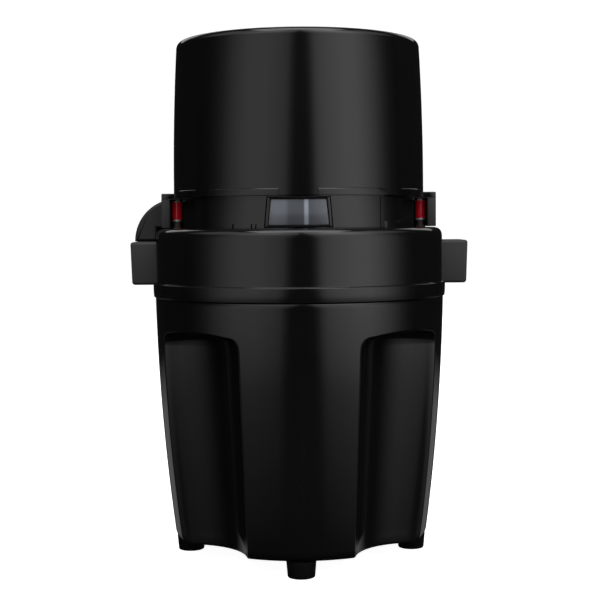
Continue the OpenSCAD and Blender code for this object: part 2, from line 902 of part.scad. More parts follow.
// Bell outline, set in from the outside
module bell_form(inset) {
    steps = 5;
    top_r = bell_top_r - inset;
    z_bend = z_bell + bell_straight;
    z_edge = z_top - inset - bell_edge;
    side = [for (i = [0:steps - 1])
        let (t = i / steps)
        [bell_r - inset - (bell_r - bell_top_r) * t * t, z_bend + (z_edge - z_bend) * t]];
    rotate_extrude()
        polygon(concat(
            [[0, z_bell], [bell_r - inset, z_bell]],
            side,
            arc(top_r - bell_edge, z_edge, bell_edge, 0, 90),
            [[0, z_top - inset]]));
}

// Part of a ring between two turns away from the front, on both sides
module front_arcs(r_out, r_in, z0, z1, turn0, turn1) {
    both_sides()
        rotate(-90 + turn0)
            rotate_extrude(angle = turn1 - turn0)
                polygon([[r_in, z0], [r_out, z0], [r_out, z1], [r_in, z1]]);
}

// The bead seen from the front: square by the window, sloping down towards the ear
module bead_plan() {
    for (side = [-1, 1])
        polygon([
            [side * bead_start, z_bell],
            [side * bead_end, z_bell],
            [side * bead_end, z_bell + bead_h * 0.6],
            [side * (bead_end - bead_slope), z_bell + bead_h],
            [side * bead_start, z_bell + bead_h]]);
}

module bell_cover() {
    bead_in = bell_r - bell_wall / 2;
    bead_top = z_bell + bead_h;
    color([0.03, 0.03, 0.032])
        union() {
            difference() {
                bell_form(0);
                translate([0, 0, -0.01]) bell_form(bell_wall);
            }
            intersection() {
                front_arcs(bell_r + bead_out, bead_in, z_bell, bead_top, 0, step_turn + 5);
                rotate([90, 0, 0]) linear_extrude(bell_r + 2 * over) bead_plan();
            }
            front_arcs(bell_r + bead_out, bead_in, z_bell, bead_top, pocket_turn, 75);
        }
}

// Trapezoid of the window seen from the front, set in at its sides and at its rails
module window_plan(side, rail) {
    foot = z_rim + (skirt_show - window_h) / 2;
    polygon([
        [-window_foot / 2 + side, foot + rail],
        [window_foot / 2 - side, foot + rail],
        [window_top / 2 - side, foot + window_h - rail],
        [-window_top / 2 + side, foot + window_h - rail]]);
}

module window_prism(side, rail) {
    rotate([90, 0, 0]) linear_extrude(opening_r + over) window_plan(side, rail);
}

// One ear: roof, outer wall, back wall and the round wall behind the plunger
module ear() {
    z_ear = z_rim + clear;
    z_join = (z_ear_under + z_bell) / 2;
    pocket_in = pocket_r - ear_t;
    union() {
        difference() {
            block([pocket_in, -ear_half, z_ear_under], [ear_reach, ear_half, z_ear_under + ear_roof]);
            disc(bell_r + seat, z_bell, z_top);
        }
        block([ear_reach - ear_outer_t, -ear_half, z_ear], [ear_reach, ear_half, z_join]);
        block([pocket_in, pocket_back, z_ear], [ear_reach, ear_half, z_join]);
        intersection() {
            disc(skirt_r, z_skirt, z_bell);
            block([pocket_in, pocket_back, z_skirt], [skirt_r, ear_half, z_bell]);
        }
    }
}

module skirt_ring() {
    spigot_out = bell_r - bell_wall - seat;
    spigot_wall = 2.2;
    pocket_in = pocket_r - ear_t;
    color([0.035, 0.035, 0.037])
        difference() {
            union() {
                difference() {
                    union() {
                        ring(skirt_r, skirt_r - skirt_t, z_skirt, z_bell);
                        ring(spigot_out, spigot_out - spigot_wall, z_bell - 2, z_bell + skirt_spigot);
                        front_arcs(skirt_r - over, step_r - skirt_t, z_skirt + inner_set, z_bell - inner_set,
                                   step_turn - end_turn, pocket_turn);
                        front_arcs(skirt_r - over, pocket_in, z_skirt + inner_set, z_bell - inner_set,
                                   pocket_turn - end_turn, back_turn);
                    }
                    front_arcs(skirt_r + over, step_r, z_skirt - over, z_bell + over, step_turn, pocket_turn);
                    front_arcs(ear_reach, pocket_r, z_skirt - over, z_ear_under + lid_set,
                               pocket_turn - end_turn / 2, cut_turn);
                }
                both_sides() ear();
                rotate(-90 + step_turn - end_turn / 2)
                    rotate_extrude(angle = pocket_turn - step_turn - end_turn)
                        polygon([[step_r - over, z_skirt + tab_set], [tab_r, z_skirt + tab_set],
                                 [tab_r, z_rim + tab_h], [step_r - over, z_rim + tab_h]]);
            }
            window_prism(-seat, -seat);
        }
}

module window_bezel() {
    color([0.02, 0.02, 0.021])
        intersection() {
            ring(opening_r - clear, skirt_r - skirt_t, z_rim, z_bell);
            difference() {
                window_prism(0, 0);
                window_prism(window_border, window_rail);
            }
        }
}

module window_pane() {
    pane_out = skirt_r - 0.5;
    color([0.33, 0.35, 0.39, 0.6])
        intersection() {
            ring(pane_out, pane_out - pane_t, z_rim, z_bell);
            window_prism(window_border + seat, window_rail + seat);
        }
}

// Bowl and blades

module bowl() {
    inner_corner = bowl_corner - bowl_t;
    lip = 0.8;
    wall_in = bowl_r - bowl_t;
    z_lip = z_well + bowl_h;
    color([0.75, 0.75, 0.76])
        rotate_extrude()
            polygon(concat(
                [[tower_in, z_well]],
                arc(bowl_r - bowl_corner, z_well + bowl_corner, bowl_corner, -90, 0),
                [[bowl_r, z_lip - 2 * lip], [bowl_r + lip, z_lip - lip], [bowl_r, z_lip], [wall_in, z_lip]],
                arc(wall_in - inner_corner, z_bowl_floor + inner_corner, inner_corner, 0, -90),
                [[tower_out, z_bowl_floor], [tower_out, z_tower], [tower_hole, z_tower],
                 [tower_hole, z_tower - bowl_t], [tower_in, z_tower - bowl_t]]));
}

module blade_hub() {
    color([0.85, 0.85, 0.83])
        difference() {
            rotate_extrude()
                polygon(concat(
                    [[0, z_hub], [hub_r, z_hub], [hub_r, z_hub_straight]],
                    arc(hub_top_r - hub_dome, z_hub_top - hub_dome, hub_dome, 0, 90),
                    [[0, z_hub_top]]));
            disc(hub_in, z_hub - over, z_hub_roof);
            disc(shaft_r + 1, z_hub_roof - over, z_hex);
            translate([0, 0, z_hex - over])
                cylinder(r = shaft_r + running, h = hex_l + over + clear, $fn = 6);
        }
}

// One blade: a ring on the hub with a pair of sickle arms
module blade(z, turn) {
    translate([0, 0, z])
        rotate(turn)
            linear_extrude(blade_t)
                difference() {
                    union() {
                        circle(hub_r + blade_ring);
                        for (side = [0, 180])
                            rotate(side)
                                difference() {
                                    translate([blade_mid, -blade_set]) circle(blade_outer_r);
                                    translate([blade_mid, -blade_set - blade_drop]) circle(blade_inner_r);
                                }
                    }
                    circle(hub_r);
                }
}

module lower_blade() { color([0.8, 0.8, 0.82]) blade(z_blade1, 20); }

module upper_blade() { color([0.8, 0.8, 0.82]) blade(z_blade2, 110); }

module shaft_seal() {
    seal_h = 4;
    lip = 1.5;
    top = z_well + tube_h;
    color([0.25, 0.08, 0.06])
        union() {
            ring(tube_bore, shaft_r + running, top - seal_h, top);
            ring(tube_r, shaft_r + running, top, top + lip);
        }
}

module spindle_bush() {
    bush_h = 14;
    top = z_well + tube_h - 6;
    color([0.7, 0.55, 0.25])
        ring(tube_bore, shaft_r + running, top - bush_h, top);
}

// Motor

module motor_shaft() {
    color([0.72, 0.72, 0.74])
        union() {
            disc(shaft_r, shaft_foot, z_hex);
            translate([0, 0, z_hex])
                cylinder(r = shaft_r, h = hex_l, $fn = 6);
        }
}

module armature_core() {
    color([0.35, 0.35, 0.37])
        translate([0, 0, stack_foot])
            linear_extrude(stack_h)
                difference() {
                    circle(armature_r);
                    circle(shaft_r);
                    for (i = [0:armature_slots - 1])
                        rotate(360 * i / armature_slots)
                            translate([armature_r - slot_d, -slot_w / 2])
                                square([slot_d + over, slot_w]);
                }
}

module armature_windings() {
    color([0.65, 0.33, 0.12])
        union() {
            ring(winding_out, winding_in, stack_foot - winding_h, stack_foot);
            ring(winding_out, winding_in, z_stack_top, z_stack_top + winding_top_h);
        }
}

module commutator() {
    groove_w = 0.7;
    groove_d = 1.2;
    color([0.72, 0.42, 0.2])
        translate([0, 0, z_commutator])
            linear_extrude(commutator_h)
                difference() {
                    circle(commutator_r);
                    circle(shaft_r);
                    for (i = [0:armature_slots - 1])
                        rotate(360 * (i + 0.5) / armature_slots)
                            translate([commutator_r - groove_d, -groove_w / 2])
                                square([groove_d + over, groove_w]);
                }
}

module cooling_fan() {
    color([0.15, 0.15, 0.16])
        difference() {
            union() {
                disc(fan_r, z_fan + fan_h - fan_disc, z_fan + fan_h);
                disc(fan_hub, z_fan, z_fan + fan_h);
                for (i = [0:fan_blades - 1])
                    rotate(360 * i / fan_blades)
                        translate([fan_hub - 2, 0, z_fan])
                            rotate(fan_pitch / 2)
                                cube([fan_r - fan_hub, fan_blade_t, fan_h - fan_disc / 2]);
            }
            disc(shaft_r, z_fan - over, z_fan + fan_h + over);
        }
}

// Seen from above: the stator's yoke with two pole necks and shoes
module stator_plan() {
    difference() {
        union() {
            difference() {
                circle(stator_r);
                circle(stator_in);
            }
            intersection() {
                difference() {
                    circle(stator_in + over);
                    circle(pole_r);
                }
                square([2 * neck_half, 2 * stator_r], center = true);
            }
            intersection() {
                difference() {
                    circle(pole_r + shoe_t);
                    circle(pole_r);
                }
                square([2 * coil_half, 2 * stator_r], center = true);
            }
        }
        for (side = [-1, 1])
            translate([side * motor_screw_at, 0]) circle(motor_screw_r + seat);
    }
}

module stator_core() {
    color([0.4, 0.4, 0.42])
        translate([0, 0, stack_foot])
            linear_extrude(stack_h) stator_plan();
}

module field_coils() {
    color([0.62, 0.3, 0.1])
        for (side = [-1, 1])
            difference() {
                intersection() {
                    ring(coil_out, coil_in, stack_foot - coil_end, z_stack_top + coil_end);
                    block([-coil_half, side > 0 ? 0 : -stator_r, 0], [coil_half, side > 0 ? stator_r : 0, z_top]);
                }
                block([-neck_half - clear, -stator_r, stack_foot - clear],
                      [neck_half + clear, stator_r, z_stack_top + clear]);
            }
}

// Legs of a bracket, around the two long screws
module bracket_legs(z0, z1) {
    for (side = [-1, 1])
        translate([side * motor_screw_at, 0, 0])
            ring(leg_r, motor_screw_r + seat, z0, z1);
}

module lower_bracket() {
    z1 = z_bracket_low + bracket_t;
    color([0.55, 0.56, 0.58])
        difference() {
            union() {
                block([-motor_screw_at, -bracket_half, z_bracket_low], [motor_screw_at, bracket_half, z1]);
                for (side = [-1, 1])
                    translate([side * motor_screw_at, 0, 0]) disc(leg_r, z_bracket_low, z1);
                disc(bearing_r + bearing_skin, z_bracket_low, z_bracket_low + bearing_low_h);
                bracket_legs(z1 - over, stack_foot);
            }
            disc(bearing_r, z_bracket_low - over, z_bracket_low + bearing_low_h + over);
            for (side = [-1, 1])
                translate([side * motor_screw_at, 0, 0])
                    disc(motor_screw_r + seat, z_bracket_low - over, z1 + over);
        }
}

module upper_bracket() {
    z1 = z_bracket_up + bracket_t;
    window_in = bearing_r + bearing_skin + 4;
    window_out = damper_at - damper_r - 3;
    color([0.55, 0.56, 0.58])
        difference() {
            union() {
                disc(bracket_r, z_bracket_up, z1);
                disc(bearing_r + bearing_skin, z_bracket_up, z_bearing_up + bearing_h);
                bracket_legs(z_stack_top, z_bracket_up + over);
            }
            disc(bearing_r, z_bearing_up, z_bearing_up + bearing_h + over);
            disc(shaft_r + 2, z_bracket_up - over, z_bearing_up + over);
            for (side = [-1, 1])
                translate([side * motor_screw_at, 0, 0])
                    disc(motor_screw_r + seat, z_bracket_up - over, z1 + over);
            at_turns([45:90:315], damper_at)
                disc(motor_screw_r + seat, z_bracket_up - over, z1 + over);
            at_turns([45:90:315], 0)
                block([window_in, -6, z_bracket_up - over], [window_out, 6, z1 + over]);
        }
}

module lower_bearing() {
    color([0.75, 0.6, 0.3])
        ring(bearing_r, shaft_r + running, z_bearing_low, z_bearing_low + bearing_low_h);
}

module upper_bearing() {
    color([0.7, 0.7, 0.72])
        ring(bearing_r, shaft_r + running, z_bearing_up, z_bearing_up + bearing_h);
}

module brush_holders() {
    half_w = brush_w / 2 + seat + holder_skin;
    half_h = brush_h / 2 + seat + holder_skin;
    color([0.25, 0.2, 0.12])
        for (turn = [90, 270])
            rotate(turn)
                difference() {
                    block([commutator_r + 2, -half_w, z_brush - half_h], [holder_out, half_w, z_bracket_up]);
                    block([commutator_r, -brush_w / 2 - seat, z_brush - brush_h / 2 - seat],
                          [holder_out - holder_skin, brush_w / 2 + seat, z_brush + brush_h / 2 + seat]);
                }
}

module carbon_brushes() {
    color([0.1, 0.1, 0.1])
        for (turn = [90, 270])
            rotate(turn)
                block([commutator_r + clear, -brush_w / 2, z_brush - brush_h / 2],
                      [brush_out, brush_w / 2, z_brush + brush_h / 2]);
}

module motor_dampers() {
    color([0.05, 0.05, 0.05])
        at_turns([45:90:315], damper_at)
            ring(damper_r, motor_screw_r + seat, z_damper, z_damper + damper_h);
}

module motor_mount_screws() {
    color([0.6, 0.6, 0.62])
        at_turns([45:90:315], damper_at)
            screw(z_bracket_up, motor_screw_r, mount_screw_l, motor_head_r, screw_head_h);
}

module motor_screws() {
    color([0.6, 0.6, 0.62])
        for (side = [-1, 1])
            translate([side * motor_screw_at, 0, 0]) {
                screw(z_bracket_low, motor_screw_r, z_bearing_up - z_bracket_low + 3, motor_head_r, screw_head_h);
                ring(motor_head_r, motor_screw_r - over, z_bearing_up, z_bearing_up + 2);
            }
}

motor_housing();
base_plate();
base_plate_screws();
rubber_feet();
cord_gland();
collar();
collar_screws();
left_grip();
right_grip();
switch_housing();
safety_switch();
switch_button();
plunger_guides();
plunger_yoke();
red_plungers();
plunger_rings();
return_springs();
yoke_retainer();
bell_cover();
skirt_ring();
window_bezel();
window_pane();
bowl();
blade_hub();
lower_blade();
upper_blade();
shaft_seal();
spindle_bush();
motor_shaft();
armature_core();
armature_windings();
commutator();
cooling_fan();
stator_core();
field_coils();
lower_bracket();
upper_bracket();
lower_bearing();
upper_bearing();
brush_holders();
carbon_brushes();
motor_dampers();
motor_mount_screws();
motor_screws();
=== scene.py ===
"""Electric food chopper: the looks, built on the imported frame.

Pieces are drawn in millimetres and become metres when they are placed. The studio is in metres.
"""
import math

import bmesh
import bpy
from mathutils import Matrix, Vector


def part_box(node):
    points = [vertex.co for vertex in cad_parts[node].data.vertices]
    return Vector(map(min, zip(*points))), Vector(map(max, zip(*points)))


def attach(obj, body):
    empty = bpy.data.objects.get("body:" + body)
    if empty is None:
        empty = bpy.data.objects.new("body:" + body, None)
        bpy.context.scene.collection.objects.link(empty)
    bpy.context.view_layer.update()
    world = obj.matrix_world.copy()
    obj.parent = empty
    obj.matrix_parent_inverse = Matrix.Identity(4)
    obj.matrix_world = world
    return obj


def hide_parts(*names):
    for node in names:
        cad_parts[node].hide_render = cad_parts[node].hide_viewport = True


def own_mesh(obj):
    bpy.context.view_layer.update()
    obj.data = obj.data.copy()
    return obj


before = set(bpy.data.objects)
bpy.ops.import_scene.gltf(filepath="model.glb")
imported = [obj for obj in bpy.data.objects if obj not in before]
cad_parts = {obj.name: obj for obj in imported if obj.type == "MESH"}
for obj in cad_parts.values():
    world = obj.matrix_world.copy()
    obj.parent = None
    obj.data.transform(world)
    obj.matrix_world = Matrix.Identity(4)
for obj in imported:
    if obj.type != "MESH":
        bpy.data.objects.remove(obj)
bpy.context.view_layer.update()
scene = bpy.context.scene
scene.view_settings.view_transform = "Standard"

# Camera: a long lens in front of the object, level with the collar's rim.
# It looks slightly down and is rolled by less than half a degree, as in the photograph.
LENS, SENSOR = 79.9, 36
VIEWPOINT = (0.0003, -0.666, 0.165)
LOOK_DOWN, ROLL = 3.4, -0.44
camera_data = bpy.data.cameras.new("camera")
camera_data.lens = LENS
camera_data.sensor_width = SENSOR
camera = bpy.data.objects.new("camera", camera_data)
pitch = Matrix.Rotation(math.radians(90 - LOOK_DOWN), 4, "X")
roll = Matrix.Rotation(math.radians(ROLL), 4, "Z")
camera.matrix_world = Matrix.Translation(VIEWPOINT) @ pitch @ roll
scene.collection.objects.link(camera)
scene.camera = camera

# Sweep: a pale floor that runs out to a round wall, in matt white paint and evenly lit.
# The camera sees it, but the plastic doesn't mirror it.
SWEEP_OUTLINE = [(0, -0.0002), (2.2, -0.0002), (3.0, 0.25), (3.2, 1.0), (3.2, 3.0), (0, 3.6)]
SWEEP_STEPS = 64
SWEEP_WHITE, SWEEP_ROUGHNESS, SWEEP_GLOW = 0.8, 0.9, 0.95


def revolve(bm, outline, steps, closed=True, centre=(0, 0)):
    """Full turn of an outline of (radius, height) points about an upright axis."""
    ring = [bm.verts.new((centre[0] + r, centre[1], z)) for r, z in outline]
    pairs = list(zip(ring, ring[1:]))
    if closed:
        pairs.append((ring[-1], ring[0]))
    edges = [bm.edges.new(pair) for pair in pairs]
    bmesh.ops.spin(bm, geom=ring + edges, cent=(*centre, 0), axis=(0, 0, 1), dvec=(0, 0, 0),
                   angle=math.tau, steps=steps, use_merge=True, use_duplicate=False)


def make_object(name, bm, *paints):
    """Turns a finished bmesh into an object of the scene, with its materials."""
    mesh = bpy.data.meshes.new(name)
    bm.to_mesh(mesh)
    bm.free()
    for paint in paints:
        mesh.materials.append(paint)
    made = bpy.data.objects.new(name, mesh)
    scene.collection.objects.link(made)
    return made


sweep_paint = bpy.data.materials.new("sweep_white")
sweep_paint.use_nodes = True
sweep_shader = sweep_paint.node_tree.nodes["Principled BSDF"]
sweep_shader.inputs["Base Color"].default_value = (SWEEP_WHITE, SWEEP_WHITE, SWEEP_WHITE, 1)
sweep_shader.inputs["Roughness"].default_value = SWEEP_ROUGHNESS
sweep_shader.inputs["Emission Color"].default_value = (1, 1, 1, 1)
sweep_shader.inputs["Emission Strength"].default_value = SWEEP_GLOW
sweep_bm = bmesh.new()
revolve(sweep_bm, SWEEP_OUTLINE, SWEEP_STEPS, closed=False)
sweep = make_object("sweep", sweep_bm, sweep_paint)
sweep.data.shade_smooth()
sweep.visible_glossy = False
sweep.visible_diffuse = False
sweep.visible_shadow = False

# Room: dark, so that what no softbox covers mirrors as near black in the gloss plastic.
# A little cool light is left in it.
ROOM_TINT, ROOM_GLOW = (0.9, 0.95, 1.0, 1), 0.008
room = bpy.data.worlds.new("room")
room.use_nodes = True
room_light = room.node_tree.nodes["Background"]
room_light.inputs["Color"].default_value = ROOM_TINT
room_light.inputs["Strength"].default_value = ROOM_GLOW
scene.world = room

# Softboxes: tall curved walls of light round the object. The dark gap between the front two mirrors as
# the strip down its middle. The clear ones stand just in front of the others and add to them.
SOFTBOX_R, SOFTBOX_LOW, SOFTBOX_HIGH, SOFTBOX_STEPS = 1.3, -0.65, 2.4, 48
CLEAR_R = SOFTBOX_R - 0.02
LEFT_STOPS = [(0, 0), (7, 0.02), (11, 0.2), (14, 0.45), (20, 0.6), (34, 0.78), (50, 0.74), (60, 0.53),
              (68, 0.33), (75, 0.15), (82, 0.06), (90, 0.012), (100, 0)]
RIGHT_STOPS = [(4, 0), (10.5, 0.02), (14, 0.16), (17, 0.5), (21, 0.84), (29, 1.08), (45, 1.36), (55, 1.33),
               (63, 1.08), (70, 0.78), (78, 0.43), (85, 0.18), (92, 0.05), (102, 0)]
REAR_STOPS = [(-13, 0), (-9, 0.5), (9, 0.5), (13, 0)]
HIGH_STOPS = [(-115, 0), (-90, 1), (-18, 1), (-9, 0.3), (13, 0.3), (22, 1), (90, 1), (115, 0)]
LOW_STOPS = [(-26, 0), (-14, 1), (14, 1), (26, 0)]
REAR_LOW_STOPS = [(18, 0), (26, 0.7), (40, 1), (55, 0.6), (66, 0)]
WALL_RISE = [(-0.65, 0.0), (-0.58, 0.06), (-0.44, 0.13), (-0.3, 0.23), (-0.2, 0.33), (-0.16, 0.5),
             (-0.11, 0.66), (0.04, 0.95), (0.12, 1.0), (0.6, 1.0), (1.1, 1.3), (2.4, 1.2)]
HIGH_RISE = [(0.75, 0), (1.1, 0.65), (2.4, 0.8)]
LOW_RISE = [(-0.65, 0.008), (-0.48, 0.026), (-0.32, 0.018), (-0.15, 0)]
REAR_LOW_RISE = [(-0.65, 0.16), (-0.3, 0.26), (-0.14, 0.26), (-0.05, 0)]
LEFT_LEAN, RIGHT_LEAN = 10.8, 7.3


def math_node(tree, operation, *values):
    """A Math node's result. Each value is a number or another node's output."""
    node = tree.nodes.new("ShaderNodeMath")
    node.operation = operation
    for socket, value in zip(node.inputs, values):
        if isinstance(value, (int, float)):
            socket.default_value = value
        else:
            tree.links.new(value, socket)
    return node.outputs["Value"]


def smooth_ramp(tree, value, stops):
    """Links a value to a ramp through stops of (place, strength). Returns the ramp's strength."""
    low, high = stops[0][0], stops[-1][0]
    peak = max(strength for place, strength in stops)
    spread = tree.nodes.new("ShaderNodeMapRange")
    spread.inputs["From Min"].default_value = low
    spread.inputs["From Max"].default_value = high
    ramp_node = tree.nodes.new("ShaderNodeValToRGB")
    ramp = ramp_node.color_ramp
    while len(ramp.elements) < len(stops):
        ramp.elements.new(0.5)
    for element, (place, strength) in zip(ramp.elements, stops):
        element.position = (place - low) / (high - low)
        element.color = (strength / peak, strength / peak, strength / peak, 1)
    tree.links.new(value, spread.inputs["Value"])
    tree.links.new(spread.outputs["Result"], ramp_node.inputs["Fac"])
    return math_node(tree, "MULTIPLY", ramp_node.outputs["Color"], peak)


def softbox(name, side, turned, stops, lean=0, rise=WALL_RISE, clear=False):
    """A glowing wall on an arc. Stops are (degrees round, strength), rise is (height, strength).
    The stops lean in by so many degrees per metre of height, and a clear wall lets light through."""
    glow = bpy.data.materials.new(name)
    glow.use_nodes = True
    tree = glow.node_tree
    tree.nodes.remove(tree.nodes["Principled BSDF"])
    place = tree.nodes.new("ShaderNodeTexCoord")
    split = tree.nodes.new("ShaderNodeSeparateXYZ")
    tree.links.new(place.outputs["Object"], split.inputs["Vector"])
    ahead = math_node(tree, "MULTIPLY", split.outputs["Y"], -1)
    degrees = math_node(tree, "DEGREES", math_node(tree, "ARCTAN2", split.outputs["X"], ahead))
    leaning = math_node(tree, "MULTIPLY_ADD", split.outputs["Z"], lean, degrees)
    round_strength = smooth_ramp(tree, leaning, stops)
    rise_strength = smooth_ramp(tree, split.outputs["Z"], rise)
    light = tree.nodes.new("ShaderNodeEmission")
    tree.links.new(math_node(tree, "MULTIPLY", round_strength, rise_strength), light.inputs["Strength"])
    surface = light.outputs["Emission"]
    if clear:
        through = tree.nodes.new("ShaderNodeBsdfTransparent")
        added = tree.nodes.new("ShaderNodeAddShader")
        tree.links.new(surface, added.inputs[0])
        tree.links.new(through.outputs["BSDF"], added.inputs[1])
        surface = added.outputs["Shader"]
    tree.links.new(surface, tree.nodes["Material Output"].inputs["Surface"])
    wall_bm = bmesh.new()
    wall_r = CLEAR_R if clear else SOFTBOX_R
    start, end = math.radians(stops[0][0]), math.radians(stops[-1][0])
    post = [wall_bm.verts.new((wall_r * math.sin(start), -wall_r * math.cos(start), z))
            for z in (SOFTBOX_LOW, SOFTBOX_HIGH)]
    post_edge = wall_bm.edges.new(post)
    bmesh.ops.spin(wall_bm, geom=post + [post_edge], cent=(0, 0, 0), axis=(0, 0, 1), dvec=(0, 0, 0),
                   angle=end - start, steps=SOFTBOX_STEPS, use_merge=False, use_duplicate=False)
    wall = make_object(name, wall_bm, glow)
    wall.scale.x = side
    wall.rotation_euler.z = math.radians(turned)
    wall.visible_camera = False
    wall.visible_transmission = False


softbox("softbox_left", -1, 0, LEFT_STOPS, LEFT_LEAN)
softbox("softbox_right", 1, 0, RIGHT_STOPS, RIGHT_LEAN)
softbox("softbox_rear", 1, 180, REAR_STOPS)
softbox("softbox_high", 1, 0, HIGH_STOPS, rise=HIGH_RISE, clear=True)
softbox("softbox_low", 1, 0, LOW_STOPS, rise=LOW_RISE, clear=True)
softbox("softbox_rear_low_left", -1, 180, REAR_LOW_STOPS, rise=REAR_LOW_RISE, clear=True)
softbox("softbox_rear_low_right", 1, 180, REAR_LOW_STOPS, rise=REAR_LOW_RISE, clear=True)


# Lamps: two soft rectangles that catch the upper edges, above and behind the object.
# Two more fill in the front and the back, and don't mirror.
def area_light(name, place, aim, width, height, watts, mirrored):
    lamp_data = bpy.data.lights.new(name, "AREA")
    lamp_data.shape = "RECTANGLE"
    lamp_data.size = width
    lamp_data.size_y = height
    lamp_data.energy = watts
    lamp = bpy.data.objects.new(name, lamp_data)
    lamp.location = place
    lamp.rotation_euler = (Vector(aim) - Vector(place)).to_track_quat("-Z", "Y").to_euler()
    scene.collection.objects.link(lamp)
    lamp.visible_camera = False
    lamp.visible_glossy = mirrored


area_light("overhead", (0, -0.25, 1.3), (0, 0, 0.15), width=1.0, height=0.7, watts=6, mirrored=True)
area_light("rim_rear", (0, 1.0, 0.84), (0, 0, 0.16), width=1.8, height=0.5, watts=2.4, mirrored=True)
area_light("fill_front", (0, -1.4, 0.7), (0, 0, 0.15), width=1.2, height=0.8, watts=9, mirrored=False)
area_light("fill_rear", (0, 1.4, 0.8), (0, 0, 0.12), width=1.6, height=0.8, watts=10, mirrored=False)

# Motor housing: the tapered lower shell with a concave flute on each diagonal. It is moulded in gloss
# black plastic and carries the collar on its rim. The shell is spun from the rows of one outline, and
# its columns are then drawn in to where a leaning cone would cut each flute.
MM, SAME_POINT = 0.001, 0.002
SKIN_VALUES = {"Polish": 0.2, "Spread": 0.05, "Cloud": 60.0, "Grain": 900.0, "Depth": 0.1}
CLOUD_DETAIL, GRAIN_DETAIL, GRAIN_HEIGHT = 4, 2, 0.00005
FLOOR, COLLAR_FOOT, HOUSING_WALL = 8.0, 128.0, 2.2
HOUSING_TOP_R, HOUSING_TAPER, HOUSING_BELLY = 71.5, 0.0179, 0.000476
FLOOR_R, RIM_R, RIM_IN = 45.2, 71.1, 69.2
FOOT_BEND_AT, FOOT_BEND_R, FOOT_BEND_TOP, FOOT_BEND_ROWS = 58.4, 4.7, 12.7, 7
FLUTE_FOOT_AT, FLUTE_TOP_AT, FLUTE_HEIGHT = 79.2, 94.48, 100.7
FLUTE_FOOT_R, FLUTE_TOP_R, FLUTE_FILLET = 31.0, 38.6, 6.0
FLUTE_LENGTH = math.hypot(FLUTE_TOP_AT - FLUTE_FOOT_AT, FLUTE_HEIGHT)
FLUTE_LEAN = math.atan2(FLUTE_TOP_AT - FLUTE_FOOT_AT, FLUTE_HEIGHT)
FLUTE_SLOPE = (FLUTE_TOP_R - FLUTE_FOOT_R) / FLUTE_LENGTH
FILLET_R = FLUTE_FOOT_R + FLUTE_SLOPE * (FLUTE_LENGTH - FLUTE_FILLET) - FLUTE_FILLET
WALL_ROWS, WALL_ROWS_TOP = 28, 105.4
FILLET_ROWS, FILLET_ROWS_FOOT, FILLET_ROWS_RISE = 9, 106, 6.2
END_ROWS, END_ROWS_FOOT, END_ROW_RISE, END_ROW_SHRINK = 14, 112.2, 0.16, 0.95
PLAIN_ROWS, PLAIN_ROWS_FOOT, PLAIN_ROWS_TOP = 7, 114.5, 127.6
FLUTE_END, FLUTE_EASE, UNCUT_FLOOR_R, UNCUT = 114.4, 2.4, 46, 999.0
FOOT_EDGE_REACH, FOOT_EDGE_RUN, FOOT_EDGE_START, FOOT_EDGE_KEEP = 3, 4, 0.3, 0.32
QUARTER_COLUMNS, SEAM_SLACK, SHARE_SLACK = 120, 0.001, 1e-9
COLUMN_TURNS = ((0.0, 0.0), (0.22, 14.0), (0.72, 26.0), (1.0, 45.0))

# The skin of a moulding, shared by every finish: a soft cloud of polish and tone, and a faint grain.
skin_group = bpy.data.node_groups.new("moulded_skin", "ShaderNodeTree")
for label, usual in SKIN_VALUES.items():
    value_socket = skin_group.interface.new_socket(label, in_out="INPUT", socket_type="NodeSocketFloat")
    value_socket.default_value = usual
skin_stretch = skin_group.interface.new_socket("Stretch", in_out="INPUT", socket_type="NodeSocketVector")
skin_stretch.default_value = (1, 1, 1)
skin_group.interface.new_socket("Roughness", in_out="OUTPUT", socket_type="NodeSocketFloat")
skin_group.interface.new_socket("Tone", in_out="OUTPUT", socket_type="NodeSocketFloat")
skin_group.interface.new_socket("Normal", in_out="OUTPUT", socket_type="NodeSocketVector")
skin_in = skin_group.nodes.new("NodeGroupInput")
skin_out = skin_group.nodes.new("NodeGroupOutput")
skin_place = skin_group.nodes.new("ShaderNodeTexCoord")
skin_drawn = skin_group.nodes.new("ShaderNodeVectorMath")
skin_drawn.operation = "MULTIPLY"
skin_cloud = skin_group.nodes.new("ShaderNodeTexNoise")
skin_cloud.inputs["Detail"].default_value = CLOUD_DETAIL
skin_grain = skin_group.nodes.new("ShaderNodeTexNoise")
skin_grain.inputs["Detail"].default_value = GRAIN_DETAIL
skin_bump = skin_group.nodes.new("ShaderNodeBump")
skin_bump.inputs["Distance"].default_value = GRAIN_HEIGHT
skin_rough = math_node(skin_group, "MULTIPLY_ADD", skin_cloud.outputs["Fac"], skin_in.outputs["Spread"],
                       skin_in.outputs["Polish"])
for source, target in (
        (skin_place.outputs["Object"], skin_drawn.inputs[0]),
        (skin_in.outputs["Stretch"], skin_drawn.inputs[1]),
        (skin_drawn.outputs["Vector"], skin_cloud.inputs["Vector"]),
        (skin_drawn.outputs["Vector"], skin_grain.inputs["Vector"]),
        (skin_in.outputs["Cloud"], skin_cloud.inputs["Scale"]),
        (skin_in.outputs["Grain"], skin_grain.inputs["Scale"]),
        (skin_grain.outputs["Fac"], skin_bump.inputs["Height"]),
        (skin_in.outputs["Depth"], skin_bump.inputs["Strength"]),
        (skin_rough, skin_out.inputs["Roughness"]),
        (skin_cloud.outputs["Fac"], skin_out.inputs["Tone"]),
        (skin_bump.outputs["Normal"], skin_out.inputs["Normal"])):
    skin_group.links.new(source, target)


